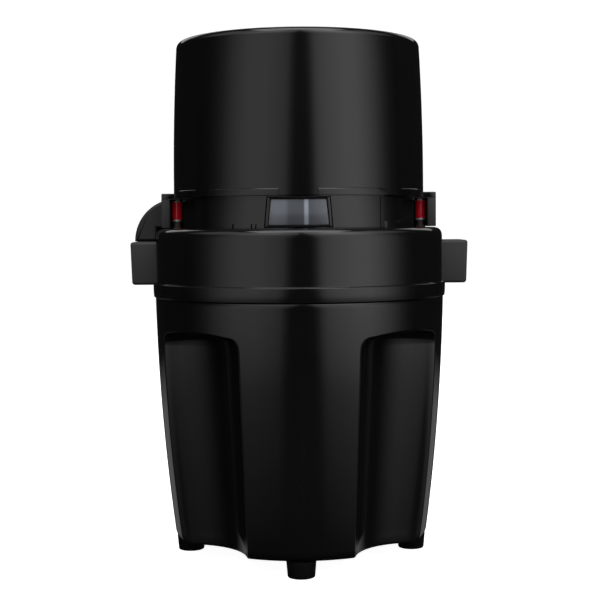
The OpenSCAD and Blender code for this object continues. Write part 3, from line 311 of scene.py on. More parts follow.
def skin_material(name, dark, light, polish, spread, grain, depth, stretch=(1, 1, 1), **sockets):
    """A material whose colour, polish and surface come from the moulded_skin group."""
    made = bpy.data.materials.new(name)
    made.use_nodes = True
    tree = made.node_tree
    shader = tree.nodes["Principled BSDF"]
    skin = tree.nodes.new("ShaderNodeGroup")
    skin.node_tree = skin_group
    own = {"Polish": polish, "Spread": spread, "Grain": grain, "Depth": depth, "Stretch": stretch}
    for label, value in own.items():
        skin.inputs[label].default_value = value
    tone = tree.nodes.new("ShaderNodeMix")
    tone.data_type = "RGBA"
    tone.inputs["A"].default_value = (*dark, 1)
    tone.inputs["B"].default_value = (*light, 1)
    tree.links.new(skin.outputs["Tone"], tone.inputs["Factor"])
    tree.links.new(tone.outputs["Result"], shader.inputs["Base Color"])
    tree.links.new(skin.outputs["Roughness"], shader.inputs["Roughness"])
    tree.links.new(skin.outputs["Normal"], shader.inputs["Normal"])
    for socket, value in sockets.items():
        shader.inputs[socket.replace("_", " ")].default_value = value
    return made


def place_piece(name, bm, material, body, slot, *replaced, sharp=35, paints=()):
    """Turns a mesh in millimetres into a piece that rides on a body and stands for CAD nodes."""
    bmesh.ops.remove_doubles(bm, verts=bm.verts, dist=SAME_POINT)
    bmesh.ops.recalc_face_normals(bm, faces=bm.faces)
    bmesh.ops.scale(bm, vec=(MM, MM, MM), verts=bm.verts)
    made = make_object(name, bm, material, *paints)
    made.data.shade_smooth()
    made.data.set_sharp_from_angle(angle=math.radians(sharp))
    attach(made, body)
    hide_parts(*replaced)
    return made


def housing_radius(z):
    below = COLLAR_FOOT - z
    return HOUSING_TOP_R - HOUSING_TAPER * below - HOUSING_BELLY * below ** 2


def flute_at_height(z, turn):
    """Distance from the shaft to a flute's wall, at a height and a turn from the flute's middle."""
    side_s = math.cos(turn) * math.sin(FLUTE_LEAN)
    base_s = -FLUTE_FOOT_AT * math.sin(FLUTE_LEAN) + (z - FLOOR) * math.cos(FLUTE_LEAN)
    base_r = FLUTE_FOOT_R + FLUTE_SLOPE * base_s
    grow = FLUTE_SLOPE * side_s
    a = 1 - side_s ** 2 - grow ** 2
    b = -FLUTE_FOOT_AT * math.cos(turn) - side_s * base_s - grow * base_r
    c = FLUTE_FOOT_AT ** 2 + (z - FLOOR) ** 2 - base_s ** 2 - base_r ** 2
    inside = b * b - a * c
    return UNCUT if inside < 0 else (-b - math.sqrt(inside)) / a


def flute_on_cutter(radius, along, turn):
    """Distance and height of a point on the flute's round end, by its radius and place on the axis."""
    reach = FLUTE_FOOT_AT + along * math.sin(FLUTE_LEAN)
    flat = radius * math.cos(FLUTE_LEAN)
    a, b = radius * math.cos(turn), flat * math.sin(turn)
    sine = reach * math.sin(turn) / math.hypot(a, b)
    if abs(sine) > 1:
        return UNCUT, 0.0
    swing = math.atan2(b, a) + math.pi - math.asin(sine)
    x = reach + flat * math.cos(swing)
    y = radius * math.sin(swing)
    z = FLOOR + along * math.cos(FLUTE_LEAN) - radius * math.cos(swing) * math.sin(FLUTE_LEAN)
    return math.hypot(x, y), z


def soft_min(a, b, width):
    meet = max(width - abs(a - b), 0) / width
    return min(a, b) - meet * meet * width / 4


# Each row is its radius, its height and, at the flute's round end, its place on the cutter.
housing_rows = [(FLOOR_R, FLOOR, None)]
for i in range(FOOT_BEND_ROWS + 1):
    bend = math.radians(-90 + 90 * i / FOOT_BEND_ROWS)
    bend_z = FLOOR + FOOT_BEND_R + FOOT_BEND_R * math.sin(bend)
    housing_rows.append((FOOT_BEND_AT + FOOT_BEND_R * math.cos(bend), bend_z, None))
for i in range(1, WALL_ROWS + 1):
    height = FOOT_BEND_TOP + (WALL_ROWS_TOP - FOOT_BEND_TOP) * i / WALL_ROWS
    housing_rows.append((housing_radius(height), height, None))
for i in range(FILLET_ROWS + 1):
    bend = math.radians(90 * i / FILLET_ROWS)
    height = FILLET_ROWS_FOOT + FILLET_ROWS_RISE * math.sin(bend)
    along = FLUTE_LENGTH - FLUTE_FILLET * (1 - math.sin(bend))
    housing_rows.append((housing_radius(height), height, (FILLET_R + FLUTE_FILLET * math.cos(bend), along)))
for i in range(1, END_ROWS + 1):
    height = END_ROWS_FOOT + END_ROW_RISE * i
    housing_rows.append((housing_radius(height), height, (FILLET_R - END_ROW_SHRINK * i, FLUTE_LENGTH)))
for i in range(1, PLAIN_ROWS + 1):
    height = PLAIN_ROWS_FOOT + (PLAIN_ROWS_TOP - PLAIN_ROWS_FOOT) * i / PLAIN_ROWS
    housing_rows.append((housing_radius(height), height, None))
housing_rows.append((RIM_R, COLLAR_FOOT, None))
housing_rows.append((RIM_IN, COLLAR_FOOT, None))

housing_bm = bmesh.new()
row_layer = housing_bm.verts.layers.int.new("row")
row_verts = [housing_bm.verts.new((r, 0, z)) for r, z, end in housing_rows]
for i, v in enumerate(row_verts):
    v[row_layer] = i
row_edges = [housing_bm.edges.new(pair) for pair in zip(row_verts, row_verts[1:])]
bmesh.ops.spin(housing_bm, geom=row_verts + row_edges, cent=(0, 0, 0), axis=(0, 0, 1), dvec=(0, 0, 0),
               angle=math.tau, steps=4 * QUARTER_COLUMNS, use_merge=True, use_duplicate=False)
for v in housing_bm.verts:
    outer_r, height, end = housing_rows[v[row_layer]]
    heading = math.degrees(math.atan2(v.co.y, v.co.x))
    quarter = math.floor((heading + SEAM_SLACK) / 90) * 90 + 45
    around = heading - quarter
    share = min(abs(around) / 45, 1)
    for (s0, t0), (s1, t1) in zip(COLUMN_TURNS, COLUMN_TURNS[1:]):
        if s0 <= share <= s1 + SHARE_SLACK:
            turned = math.copysign(t0 + (t1 - t0) * (share - s0) / (s1 - s0), around)
    turn = math.radians(turned)
    if end is None:
        cut_r, cut_z = flute_at_height(height, turn), height
    else:
        cut_r, cut_z = flute_on_cutter(*end, turn)
    if height > FLUTE_END or outer_r < UNCUT_FLOOR_R:
        cut_r = UNCUT
    radius = soft_min(outer_r, cut_r, FLUTE_EASE)
    mix = min(max((outer_r - cut_r + FLUTE_EASE / 2) / FLUTE_EASE, 0), 1)
    level = height
    if cut_r < UNCUT:
        level = height + (cut_z - height) * mix * mix * (3 - 2 * mix)
    if height < FOOT_BEND_TOP and cut_r < outer_r + FOOT_EDGE_REACH:
        edge_drop = min(max((outer_r - cut_r) / FOOT_EDGE_RUN + FOOT_EDGE_START, 0), 1)
        level = height + (FLOOR + (height - FLOOR) * FOOT_EDGE_KEEP - height) * edge_drop
    angle = math.radians(quarter) + turn
    v.co = (radius * math.cos(angle), radius * math.sin(angle), level)
bmesh.ops.recalc_face_normals(housing_bm, faces=housing_bm.faces)
bmesh.ops.solidify(housing_bm, geom=housing_bm.faces[:], thickness=HOUSING_WALL)
gloss_black = skin_material("gloss_black", (0.0048, 0.0048, 0.0052), (0.0068, 0.0068, 0.0072),
                            polish=0.08, spread=0.04, grain=700, depth=0.04, IOR=1.5)
place_piece("housing_shell", housing_bm, gloss_black, "base", "gloss_black", "motor_housing", sharp=55)

# Base plate: a moulded disc of plain dark plastic that closes the housing's floor.
# Zinc plated screws hold it, as they do the collar and the motor. These keep their CAD shapes.
inner_plastic = skin_material("inner_plastic", (0.03, 0.03, 0.032), (0.05, 0.05, 0.052),
                              polish=0.4, spread=0.1, grain=1200, depth=0.2)
screw_zinc = skin_material("screw_zinc", (0.5, 0.51, 0.53), (0.62, 0.62, 0.63),
                           polish=0.3, spread=0.15, grain=2200, depth=0.2, Metallic=1.0)


def finish_nodes(finish, *nodes):
    """Gives CAD nodes that keep their shape a finish of their own."""
    for node in nodes:
        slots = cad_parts[node].data.materials
        slots.clear()
        slots.append(finish)


finish_nodes(inner_plastic, "base_plate")
finish_nodes(screw_zinc, "base_plate_screws", "collar_screws", "motor_mount_screws", "motor_screws")

# Rubber feet: four round pads of soft black rubber, a little narrower at the ground.
# They are pushed into the housing's floor under the ribs. Each is spun from one outline.
FOOT_AT, FOOT_STEPS = 55.5, 48
FOOT_CORNERS = [(0, 0, 0), (6.4, 0, 0.5), (7.0, 7.0, 0.6), (7.0, 8.0, 0.0), (0, 8.0, 0)]


def soften(points, segments=4):
    """Points of an outline with its corners rounded. Each corner is (radius, height, rounding)."""
    smooth = []
    for i, (x, y, rounding) in enumerate(points):
        corner = Vector((x, y))
        if rounding == 0:
            smooth.append((x, y))
            continue
        before = Vector(points[i - 1][:2])
        after = Vector(points[(i + 1) % len(points)][:2])
        start = corner + (before - corner).normalized() * rounding
        end = corner + (after - corner).normalized() * rounding
        for k in range(segments + 1):
            t = k / segments
            p = start * (1 - t) ** 2 + corner * 2 * t * (1 - t) + end * t * t
            smooth.append((p.x, p.y))
    return smooth


rubber = skin_material("rubber", (0.002, 0.002, 0.002), (0.004, 0.004, 0.004),
                       polish=0.6, spread=0.15, grain=1600, depth=0.35, Specular_IOR_Level=0.12)
feet_bm = bmesh.new()
for quarter_turn in range(4):
    foot_turn = quarter_turn * math.pi / 2
    foot_centre = (FOOT_AT * math.cos(foot_turn), FOOT_AT * math.sin(foot_turn))
    revolve(feet_bm, soften(FOOT_CORNERS), FOOT_STEPS, centre=foot_centre)
place_piece("foot_pads", feet_bm, rubber, "base", "rubber", "rubber_feet")

# Cord gland: a flanged rubber bush with a rounded mouth, pressed into a hole low in the housing's back.
# It is spun upright and then laid on its side, with its mouth flush with the end of the CAD bush.
GLAND_Z, GLAND_MOUTH, GLAND_STEPS = 24, 3.0, 64
GLAND_CORNERS = [(3.6, -8, 0), (5.2, -8, 0.3), (5.2, 0.2, 0), (7.3, 0.2, 0.3), (7.3, 2.0, 0.8),
                 (5.6, GLAND_MOUTH, 0.5), (3.6, GLAND_MOUTH, 0.8)]
gland_bm = bmesh.new()
revolve(gland_bm, soften(GLAND_CORNERS), GLAND_STEPS)
lay_back = Matrix.Rotation(-math.pi / 2, 3, "X")
bmesh.ops.rotate(gland_bm, cent=(0, 0, 0), matrix=lay_back, verts=gland_bm.verts)
gland_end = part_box("cord_gland")[1].y / MM
bmesh.ops.translate(gland_bm, verts=gland_bm.verts, vec=(0, gland_end - GLAND_MOUTH, GLAND_Z))
place_piece("gland_bush", gland_bm, rubber, "base", "rubber", "cord_gland")

# Rotor: a ground steel shaft with a core of stacked iron sheets, wound with enamelled copper wire.
# A copper commutator and a plastic fan are pressed on the same shaft. These keep their CAD shapes.
BRUSHED, STACKED = (0.06, 0.06, 0.8), (0.03, 0.03, 1.0)
steel = skin_material("steel", (0.46, 0.46, 0.47), (0.64, 0.64, 0.65),
                      polish=0.2, spread=0.16, grain=1800, depth=0.35, stretch=BRUSHED, Metallic=1.0)
lamination = skin_material("lamination", (0.12, 0.12, 0.13), (0.2, 0.2, 0.21),
                           polish=0.45, spread=0.2, grain=2200, depth=0.5, stretch=STACKED, Metallic=1.0)
copper = skin_material("copper", (0.45, 0.17, 0.07), (0.6, 0.25, 0.1),
                       polish=0.3, spread=0.15, grain=2500, depth=0.5, Metallic=1.0)
finish_nodes(steel, "motor_shaft")
finish_nodes(lamination, "armature_core")
finish_nodes(copper, "armature_windings", "commutator")
finish_nodes(inner_plastic, "cooling_fan")

# Motor frame: a stack of iron sheets with copper field coils, clamped between two cast alloy brackets.
# Bronze bearings sit in the brackets and carbon brushes in plastic holders. The whole motor hangs
# under the collar on rubber dampers. These keep their CAD shapes.
alloy = skin_material("alloy", (0.42, 0.43, 0.44), (0.55, 0.56, 0.57),
                      polish=0.4, spread=0.2, grain=1500, depth=0.3, Metallic=1.0)
bearing_bronze = skin_material("bearing_bronze", (0.5, 0.36, 0.16), (0.6, 0.45, 0.2),
                               polish=0.35, spread=0.15, grain=2000, depth=0.2, Metallic=1.0)
carbon = skin_material("carbon", (0.01, 0.01, 0.01), (0.03, 0.03, 0.03),
                       polish=0.5, spread=0.2, grain=3000, depth=0.3)
finish_nodes(lamination, "stator_core")
finish_nodes(copper, "field_coils")
finish_nodes(alloy, "lower_bracket", "upper_bracket")
finish_nodes(bearing_bronze, "lower_bearing", "upper_bearing")
finish_nodes(carbon, "carbon_brushes")
finish_nodes(inner_plastic, "brush_holders")
finish_nodes(rubber, "motor_dampers")

# Collar: the ring between housing and cover, one gloss black moulding with a lipped band at its foot,
# a rounded shoulder, the bowl's well and the shaft's tube, which holds a bronze bush and a rubber seal.
# It is screwed to the housing. It is spun, then cut across at the ears so that the rim can be sunk there.
COLLAR_CORNERS = [
    (68.7, 123.0, 0.4), (68.7, 128.05, 0), (71.5, 128.05, 0), (72.3, 128.25, 0.15), (72.5, 130.6, 0.6),
    (72.6, 134.9, 0.45), (71.1, 135.2, 0.2), (71.1, 161.6, 4.5),
    (62.2, 161.6, 0.7), (62.2, 152.0, 0.4), (55.2, 152.0, 0.5), (55.2, 131.0, 1.5), (8.0, 131.0, 1.0),
    (8.0, 171.0, 0.4), (6.0, 171.0, 0.3), (6.0, 129.0, 0.3), (57.2, 129.0, 0.3), (57.2, 150.0, 0.5),
    (65.2, 150.0, 0.5), (65.2, 156.6, 0.5), (68.6, 154.6, 0.5), (68.6, 131.0, 0.3), (66.7, 129.0, 0.3),
    (66.7, 123.0, 0.4)]
COLLAR_SEGMENTS, COLLAR_STEPS = 6, 288
NEAR_EAR_X, NEAR_EAR_Y, NEAR_EAR_Z = 55, 14, 151
EAR_CUTS = ((0, 1, 8.6), (0, 1, 8.5), (1, 0, 68.3), (1, 0, 68.2))
SUNK_Y, SUNK_X, SUNK_IN_R, SUNK_RIM = 8.55, 68.25, 62.1, 158.6


def near_ear(face):
    middle = face.calc_center_median()
    return abs(middle.y) < NEAR_EAR_Y and abs(middle.x) > NEAR_EAR_X and middle.z > NEAR_EAR_Z


collar_bm = bmesh.new()
revolve(collar_bm, soften(COLLAR_CORNERS, COLLAR_SEGMENTS), COLLAR_STEPS)
for axis_x, axis_y, reach in EAR_CUTS:
    for side in (-1, 1):
        ear_faces = [f for f in collar_bm.faces if near_ear(f)]
        ear_edges = list({e for f in ear_faces for e in f.edges})
        ear_verts = list({v for f in ear_faces for v in f.verts})
        bmesh.ops.bisect_plane(collar_bm, geom=ear_verts + ear_edges + ear_faces, dist=0.0001,
                               plane_co=(side * reach * axis_x, side * reach * axis_y, 0),
                               plane_no=(axis_x, axis_y, 0))
for v in collar_bm.verts:
    under_ear = abs(v.co.y) < SUNK_Y and NEAR_EAR_X < abs(v.co.x) < SUNK_X
    if under_ear and v.co.z > SUNK_RIM and v.co.xy.length > SUNK_IN_R:
        v.co.z = SUNK_RIM
place_piece("collar_moulding", collar_bm, gloss_black, "base", "gloss_black", "collar")
finish_nodes(bearing_bronze, "spindle_bush")
finish_nodes(rubber, "shaft_seal")

# Side grips: two blocks of matte grey plastic with eased edges, drafted towards the foot.
# Each is moulded on its own, hollowed to the collar's side and pushed over a lug there.
GRIP_SIZE, GRIP_MIDDLE = (13.4, 28.0, 21.0), (76.0, 0, 144.7)
GRIP_OUTER_X, GRIP_INNER_X, GRIP_WAIST = 80, 70, 142
GRIP_DRAFT, GRIP_ROUND, GRIP_SEGMENTS = 0.7, 1.4, 5
GRIP_SEAT_R, GRIP_SEAT_CUTS, GRIP_LONG_EDGE = 71.2, 12, 20
matte_grey = skin_material("matte_grey", (0.024, 0.024, 0.025), (0.032, 0.032, 0.033),
                           polish=0.5, spread=0.12, grain=2600, depth=0.5)
for side, grip_node in ((-1, "left_grip"), (1, "right_grip")):
    grip_bm = bmesh.new()
    bmesh.ops.create_cube(grip_bm, size=1)
    bmesh.ops.scale(grip_bm, vec=GRIP_SIZE, verts=grip_bm.verts)
    bmesh.ops.translate(grip_bm, vec=GRIP_MIDDLE, verts=grip_bm.verts)
    for v in grip_bm.verts:
        if v.co.x > GRIP_OUTER_X and v.co.z < GRIP_WAIST:
            v.co.x -= GRIP_DRAFT
    outer_edges = [e for e in grip_bm.edges if max(v.co.x for v in e.verts) > GRIP_OUTER_X]
    bmesh.ops.bevel(grip_bm, geom=outer_edges, offset=GRIP_ROUND, segments=GRIP_SEGMENTS, profile=0.5,
                    affect="EDGES", material=-1)
    bmesh.ops.scale(grip_bm, vec=(side, 1, 1), verts=grip_bm.verts)
    seat_edges = [e for e in grip_bm.edges if all(abs(v.co.x) < GRIP_INNER_X for v in e.verts)
                  and abs(e.verts[0].co.y - e.verts[1].co.y) > GRIP_LONG_EDGE]
    bmesh.ops.subdivide_edges(grip_bm, edges=seat_edges, cuts=GRIP_SEAT_CUTS, use_grid_fill=True)
    for v in grip_bm.verts:
        if abs(v.co.x) < GRIP_INNER_X:
            v.co.x = side * math.sqrt(GRIP_SEAT_R ** 2 - v.co.y ** 2)
    grip_piece = place_piece(grip_node + "_cover", grip_bm, matte_grey, "base", "matte_grey", grip_node)
    grip_piece.visible_glossy = False

# Switch housing: a hollow block of the grips' matte grey plastic on the collar behind the left grip, round
# on top.
# Its grey is painted darker than the grips' as painted shade.
# It holds the safety switch, a plain dark box with a pale button under the yoke's arm. It is a loft of
# front-to-back slices, and those behind the grip reach down to its underside.
POD_X, POD_Z, POD_R, POD_ARC_STEPS = -61.1, 155.3, 21.4, 24
POD_INNER_R, POD_COLLAR_R, POD_LEDGE = 64.2, 71.3, 161.9
POD_FOOT, POD_REAR_FOOT, POD_FLAT_END = 155.4, 134.2, 0.99
POD_PLAN = [(4.0, 1.2, POD_FOOT), (4.35, 0.5, POD_FOOT), (5.2, 0.0, POD_FOOT), (9.4, 0.0, POD_FOOT),
            (14.1, 0.0, POD_FOOT), (14.15, 0.0, POD_REAR_FOOT), (20.0, 0.0, POD_REAR_FOOT),
            (26.0, 0.0, POD_REAR_FOOT), (32.6, 0.0, POD_REAR_FOOT), (33.6, 0.5, POD_REAR_FOOT),
            (34.0, 1.3, POD_REAR_FOOT)]
# A darker copy of matte_grey: painted shade for the housing, which sits back behind the grip.
pod_grey_painted_shade = skin_material("pod_grey_painted_shade", (0.015, 0.015, 0.0155), (0.02, 0.02, 0.0205),
                         polish=0.5, spread=0.12, grain=2600, depth=0.5)
hub_plastic = skin_material("hub_plastic", (0.62, 0.62, 0.6), (0.7, 0.7, 0.68),
                            polish=0.3, spread=0.1, grain=1200, depth=0.1)
pod_bm = bmesh.new()


def pod_slice(y, inset, foot):
    """One closed slice of the switch housing at a depth, set in all round."""
    bend_r = POD_R - inset
    inner_x = -math.sqrt(POD_INNER_R ** 2 - y * y)
    collar_x = -math.sqrt(POD_COLLAR_R ** 2 - y * y)
    top_turn = math.acos(max(-1, min(1, (inner_x - inset - POD_X) / bend_r)))
    points = []
    for k in range(POD_ARC_STEPS + 1):
        a = math.pi + (top_turn - math.pi) * k / POD_ARC_STEPS
        points.append((POD_X + bend_r * math.cos(a), POD_Z + bend_r * math.sin(a)))
    points.append((inner_x - inset, POD_LEDGE + inset))
    points.append((collar_x - inset, POD_LEDGE + inset))
    points.append((collar_x - inset, foot + inset))
    points.append((POD_X - bend_r, foot + inset))
    ring = [pod_bm.verts.new((x, y, z)) for x, z in points]
    edges = [pod_bm.edges.new(pair) for pair in zip(ring, ring[1:] + ring[:1])]
    return ring, edges


pod_slices = [pod_slice(*plan) for plan in POD_PLAN]
for (ring_a, edges_a), (ring_b, edges_b) in zip(pod_slices, pod_slices[1:]):
    bmesh.ops.bridge_loops(pod_bm, edges=edges_a + edges_b)
pod_bm.faces.new(pod_slices[0][0])
pod_bm.faces.new(pod_slices[-1][0])
pod_piece = place_piece("switch_cover", pod_bm, pod_grey_painted_shade, "base", "matte_grey", "switch_housing")
for end_face in pod_piece.data.polygons:
    if abs(end_face.normal.y) > POD_FLAT_END:
        end_face.use_smooth = False
finish_nodes(inner_plastic, "safety_switch")
finish_nodes(hub_plastic, "switch_button")

# Press works: a yoke of brown plastic that joins the two plungers and pushes the switch, and the guides
# that its stems slide in. A ring under the collar's well retains it. These keep their CAD shapes.
yoke_plastic = skin_material("yoke_plastic", (0.09, 0.07, 0.065), (0.12, 0.095, 0.09),
                             polish=0.4, spread=0.1, grain=1200, depth=0.2)
finish_nodes(yoke_plastic, "plunger_guides", "plunger_yoke")
finish_nodes(inner_plastic, "yoke_retainer")

# Plungers: red clear-coated pins with a bright turned ring at each end, standing on the yoke's stems.
# The cover's ears rest on them, and push them down. Each is spun from one outline.
PIN_AT, PIN_R, PIN_FOOT, PIN_TOP, PIN_ROUND = 60.6, 2.3, 166.1, 174.6, 0.2
RING_R, RING_H, RING_FEET, RING_ROUND = 2.5, 1.1, (165.0, 174.6), 0.35
PIN_STEPS = 48


def band_outline(inner, outer, foot, top, foot_round=0, top_round=0, segments=4):
    """Outline of a band between two radii and two heights, with its outer corners rounded."""
    return soften([(inner, foot, 0), (outer, foot, foot_round), (outer, top, top_round), (inner, top, 0)],
                  segments)


# The red pins glow faintly: a painted glow that brightens them as if they were more strongly lit.
red_gloss_painted_glow = skin_material("red_gloss_painted_glow", (0.72, 0.006, 0.018), (0.85, 0.01, 0.025),
                          polish=0.12, spread=0.06, grain=900, depth=0.05, Coat_Weight=0.6,
                          Emission_Color=(0.8, 0.008, 0.02, 1), Emission_Strength=0.045)
chrome = skin_material("chrome", (0.74, 0.74, 0.75), (0.84, 0.84, 0.85),
                       polish=0.3, spread=0.08, grain=1500, depth=0.05, Metallic=0.5)
pins_bm = bmesh.new()
rings_bm = bmesh.new()
for side in (-1, 1):
    pin_centre = (side * PIN_AT, 0)
    revolve(pins_bm, band_outline(0, PIN_R, PIN_FOOT, PIN_TOP, PIN_ROUND, PIN_ROUND), PIN_STEPS,
            centre=pin_centre)
    for foot in RING_FEET:
        revolve(rings_bm, band_outline(0, RING_R, foot, foot + RING_H, RING_ROUND, RING_ROUND), PIN_STEPS,
                centre=pin_centre)
place_piece("plunger_pins", pins_bm, red_gloss_painted_glow, "plungers", "red", "red_plungers")
place_piece("plunger_collars", rings_bm, chrome, "plungers", "chrome", "plunger_rings")

# Return springs: two coils of drawn steel wire that stand on the retainer and lift the yoke.
# Each is a round wire spun up a helix and capped at both ends.
SPRING_FOOT, SPRING_TOP, PRESSED_BY = 129.1, 145.9, 2.5
COIL_R, WIRE_R, WIRE_SIDES, COIL_TURNS, TURN_STEPS = 2.6, 0.44, 12, 6, 24
COIL_STEPS = COIL_TURNS * TURN_STEPS
COIL_RISE = (SPRING_TOP - SPRING_FOOT - 2 * WIRE_R) / COIL_STEPS
spring_steel = skin_material("spring_steel", (0.45, 0.45, 0.47), (0.6, 0.6, 0.62),
                             polish=0.25, spread=0.1, grain=2500, depth=0.1, Metallic=1.0)
springs_bm = bmesh.new()
for side in (-1, 1):
    wire = bmesh.ops.create_circle(springs_bm, cap_ends=False, segments=WIRE_SIDES, radius=WIRE_R)["verts"]
    stand_up = Matrix.Rotation(math.pi / 2, 3, "X")
    bmesh.ops.rotate(springs_bm, cent=(0, 0, 0), matrix=stand_up, verts=wire)
    bmesh.ops.translate(springs_bm, vec=(side * PIN_AT + COIL_R, 0, SPRING_FOOT + WIRE_R), verts=wire)
    wire_edges = list({e for v in wire for e in v.link_edges})
    coil = bmesh.ops.spin(springs_bm, geom=wire + wire_edges, cent=(side * PIN_AT, 0, 0), axis=(0, 0, 1),
                          dvec=(0, 0, COIL_RISE), angle=math.tau * COIL_TURNS, steps=COIL_STEPS,
                          use_merge=False, use_duplicate=False)
    coil_end = [g for g in coil["geom_last"] if isinstance(g, bmesh.types.BMEdge)]
    bmesh.ops.contextual_create(springs_bm, geom=wire_edges)
    bmesh.ops.contextual_create(springs_bm, geom=coil_end)
springs = place_piece("coil_springs", springs_bm, spring_steel, "base", "spring", "return_springs")
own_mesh(springs)

# Bowl and blades: a drawn steel bowl that stands in the collar's well, and two ground steel blades
# on a pale plastic hub that drops over the shaft. These keep their CAD shapes.
finish_nodes(steel, "bowl", "lower_blade", "upper_blade")
finish_nodes(hub_plastic, "blade_hub")

# Bell cover: the tall cap that is pressed to run the chopper, moulded in gloss black plastic.
# Its side draws in towards a rounded top edge, and a broken bead with teeth laps over the skirt
# that is fixed in its foot.
BELL_FOOT, BELL_R, BELL_IN, BELL_DRAW = 180.5, 61.9, 59.5, 2.0
BELL_SIDE_H, BELL_SIDE_ROWS, BELL_STEPS = 68.9, 10, 256
BELL_INSIDE_H, BELL_INSIDE_ROWS = 66.5, 6
BELL_EDGE_AT, BELL_EDGE_Z, BELL_EDGE_R = 56.3, 249.4, 3.6
BELL_HEM = [(BELL_IN, 176.6), (61.5, 176.5), (BELL_R, 176.9)]
BELL_TOP = [(40.0, 253.0), (0, 253.0), (0, 250.6), (54.5, 250.6)]
BEAD_FOOT, LEDGE_FOOT, BEAD_TOP, BEAD_IN, BEAD_R = 176.5, 178.9, 180.0, 61.0, 62.7
BEAD_FOOT_ROUND, BEAD_TOP_ROUND = 0.3, 0.8
BEAD_START, LEDGE_START, LEDGE_END = 8.3, 50.6, 75
BEAD_SLOPES = {-1: (38.2, 42.2), 1: (36.2, 41.0)}
BEAD_SLOPE_DROP, BEAD_OUTSIDE_R = 0.35, 61.95
TEETH = ((LEDGE_START, 51.6), (52.6, 53.8), (54.8, 56.0), (57.0, LEDGE_END))
BEAD_STEPS, LEDGE_STEPS, TOOTH_STEPS = 40, 30, 12


def bell_wall(radius, height, rows):
    """Points up the bell's wall, which draws in more and more towards the top."""
    return [(radius - BELL_DRAW * (i / rows) ** 2, BELL_FOOT + height * i / rows) for i in range(rows + 1)]


def arc_strip(bm, outline, start, end, steps):
    """Part of a turn of an outline, between two turns in degrees from the front, with closed ends."""
    a = math.radians(start)
    ring = [bm.verts.new((r * math.sin(a), -r * math.cos(a), z)) for r, z in outline]
    edges = [bm.edges.new(pair) for pair in zip(ring, ring[1:] + ring[:1])]
    swept = bmesh.ops.spin(bm, geom=ring + edges, cent=(0, 0, 0), axis=(0, 0, 1), dvec=(0, 0, 0),
                           angle=math.radians(end - start), steps=steps, use_merge=False,
                           use_duplicate=False)
    last_edges = [g for g in swept["geom_last"] if isinstance(g, bmesh.types.BMEdge)]
    bm.faces.new(ring)
    bmesh.ops.contextual_create(bm, geom=last_edges)


bell_bm = bmesh.new()
bell_side = bell_wall(BELL_R, BELL_SIDE_H, BELL_SIDE_ROWS)
bell_inside = bell_wall(BELL_IN, BELL_INSIDE_H, BELL_INSIDE_ROWS)[::-1]
bell_edge = []
for bend in range(10, 100, 10):
    bell_edge.append((BELL_EDGE_AT + BELL_EDGE_R * math.cos(math.radians(bend)),
                      BELL_EDGE_Z + BELL_EDGE_R * math.sin(math.radians(bend))))
revolve(bell_bm, BELL_HEM + bell_side + bell_edge + BELL_TOP + bell_inside, BELL_STEPS)
bead_outline = band_outline(BEAD_IN, BEAD_R, BEAD_FOOT, BEAD_TOP, BEAD_FOOT_ROUND, BEAD_TOP_ROUND)
ledge_outline = band_outline(BEAD_IN, BEAD_R, LEDGE_FOOT, BEAD_TOP, 0, BEAD_TOP_ROUND)
tooth_outline = band_outline(BEAD_IN, BEAD_R, BEAD_FOOT, LEDGE_FOOT)
for side in (-1, 1):
    slope_start, bead_end = BEAD_SLOPES[side]
    arc_strip(bell_bm, bead_outline, side * BEAD_START, side * bead_end, BEAD_STEPS)
    for v in bell_bm.verts:
        turn = side * math.degrees(math.atan2(v.co.x, -v.co.y))
        if v.co.xy.length > BEAD_OUTSIDE_R and slope_start < turn < bead_end + 1:
            drop = (turn - slope_start) / (bead_end - slope_start)
            v.co.z = BEAD_FOOT + (v.co.z - BEAD_FOOT) * (1 - BEAD_SLOPE_DROP * drop)
    arc_strip(bell_bm, ledge_outline, side * LEDGE_START, side * LEDGE_END, LEDGE_STEPS)
    for tooth_start, tooth_end in TEETH:
        arc_strip(bell_bm, tooth_outline, side * tooth_start, side * tooth_end, TOOTH_STEPS)
place_piece("bell_shell", bell_bm, gloss_black, "cover", "gloss_black", "bell_cover")

# Skirt: the cover's lower ring in gloss black plastic, with a spigot that plugs into the bell. It steps
# back in two stages towards each ear, a small bracket over a plunger, and leaves a gap for the window.
# It is made of strips round the shaft, with slits at the left and a groove at the right.
SKIRT_FOOT, SKIRT_TOP = 155.0, 176.5
SLIT_TOP, SILL_TOP, LINTEL_FOOT = 163.8, 161.85, 176.2
SKIRT_R, SKIRT_IN, FACE_IN, CORE_R = 61.6, 59.2, 60.7, 60.8
STEP_R, STEP_IN = 60.4, 57.0
POCKET_R, POCKET_IN, POCKET_TOP, LID_FOOT = 57.4, 55.8, 176.0, 175.9
SPIGOT_IN, SPIGOT_R, SPIGOT_FOOT, SPIGOT_TOP = 57.2, 59.4, 174.5, 181.5
OPENING_TURN, LEFT_END, LINTEL_END, RIGHT_END = 15.0, 43.0, 40, 40.3
STEP_END, POCKET_START, POCKET_END, REAR_START = 54.5, 53.5, 98, 97.2
SLITS = ((18.4, 18.9), (20.3, 20.9), (29.1, 29.8))
RIGHT_PANELS = ((OPENING_TURN, 37.8), (38.2, RIGHT_END))
STEP_STARTS = {-1: 42.5, 1: 40.0}
EAR_X, EAR_Y = 67.7, 8
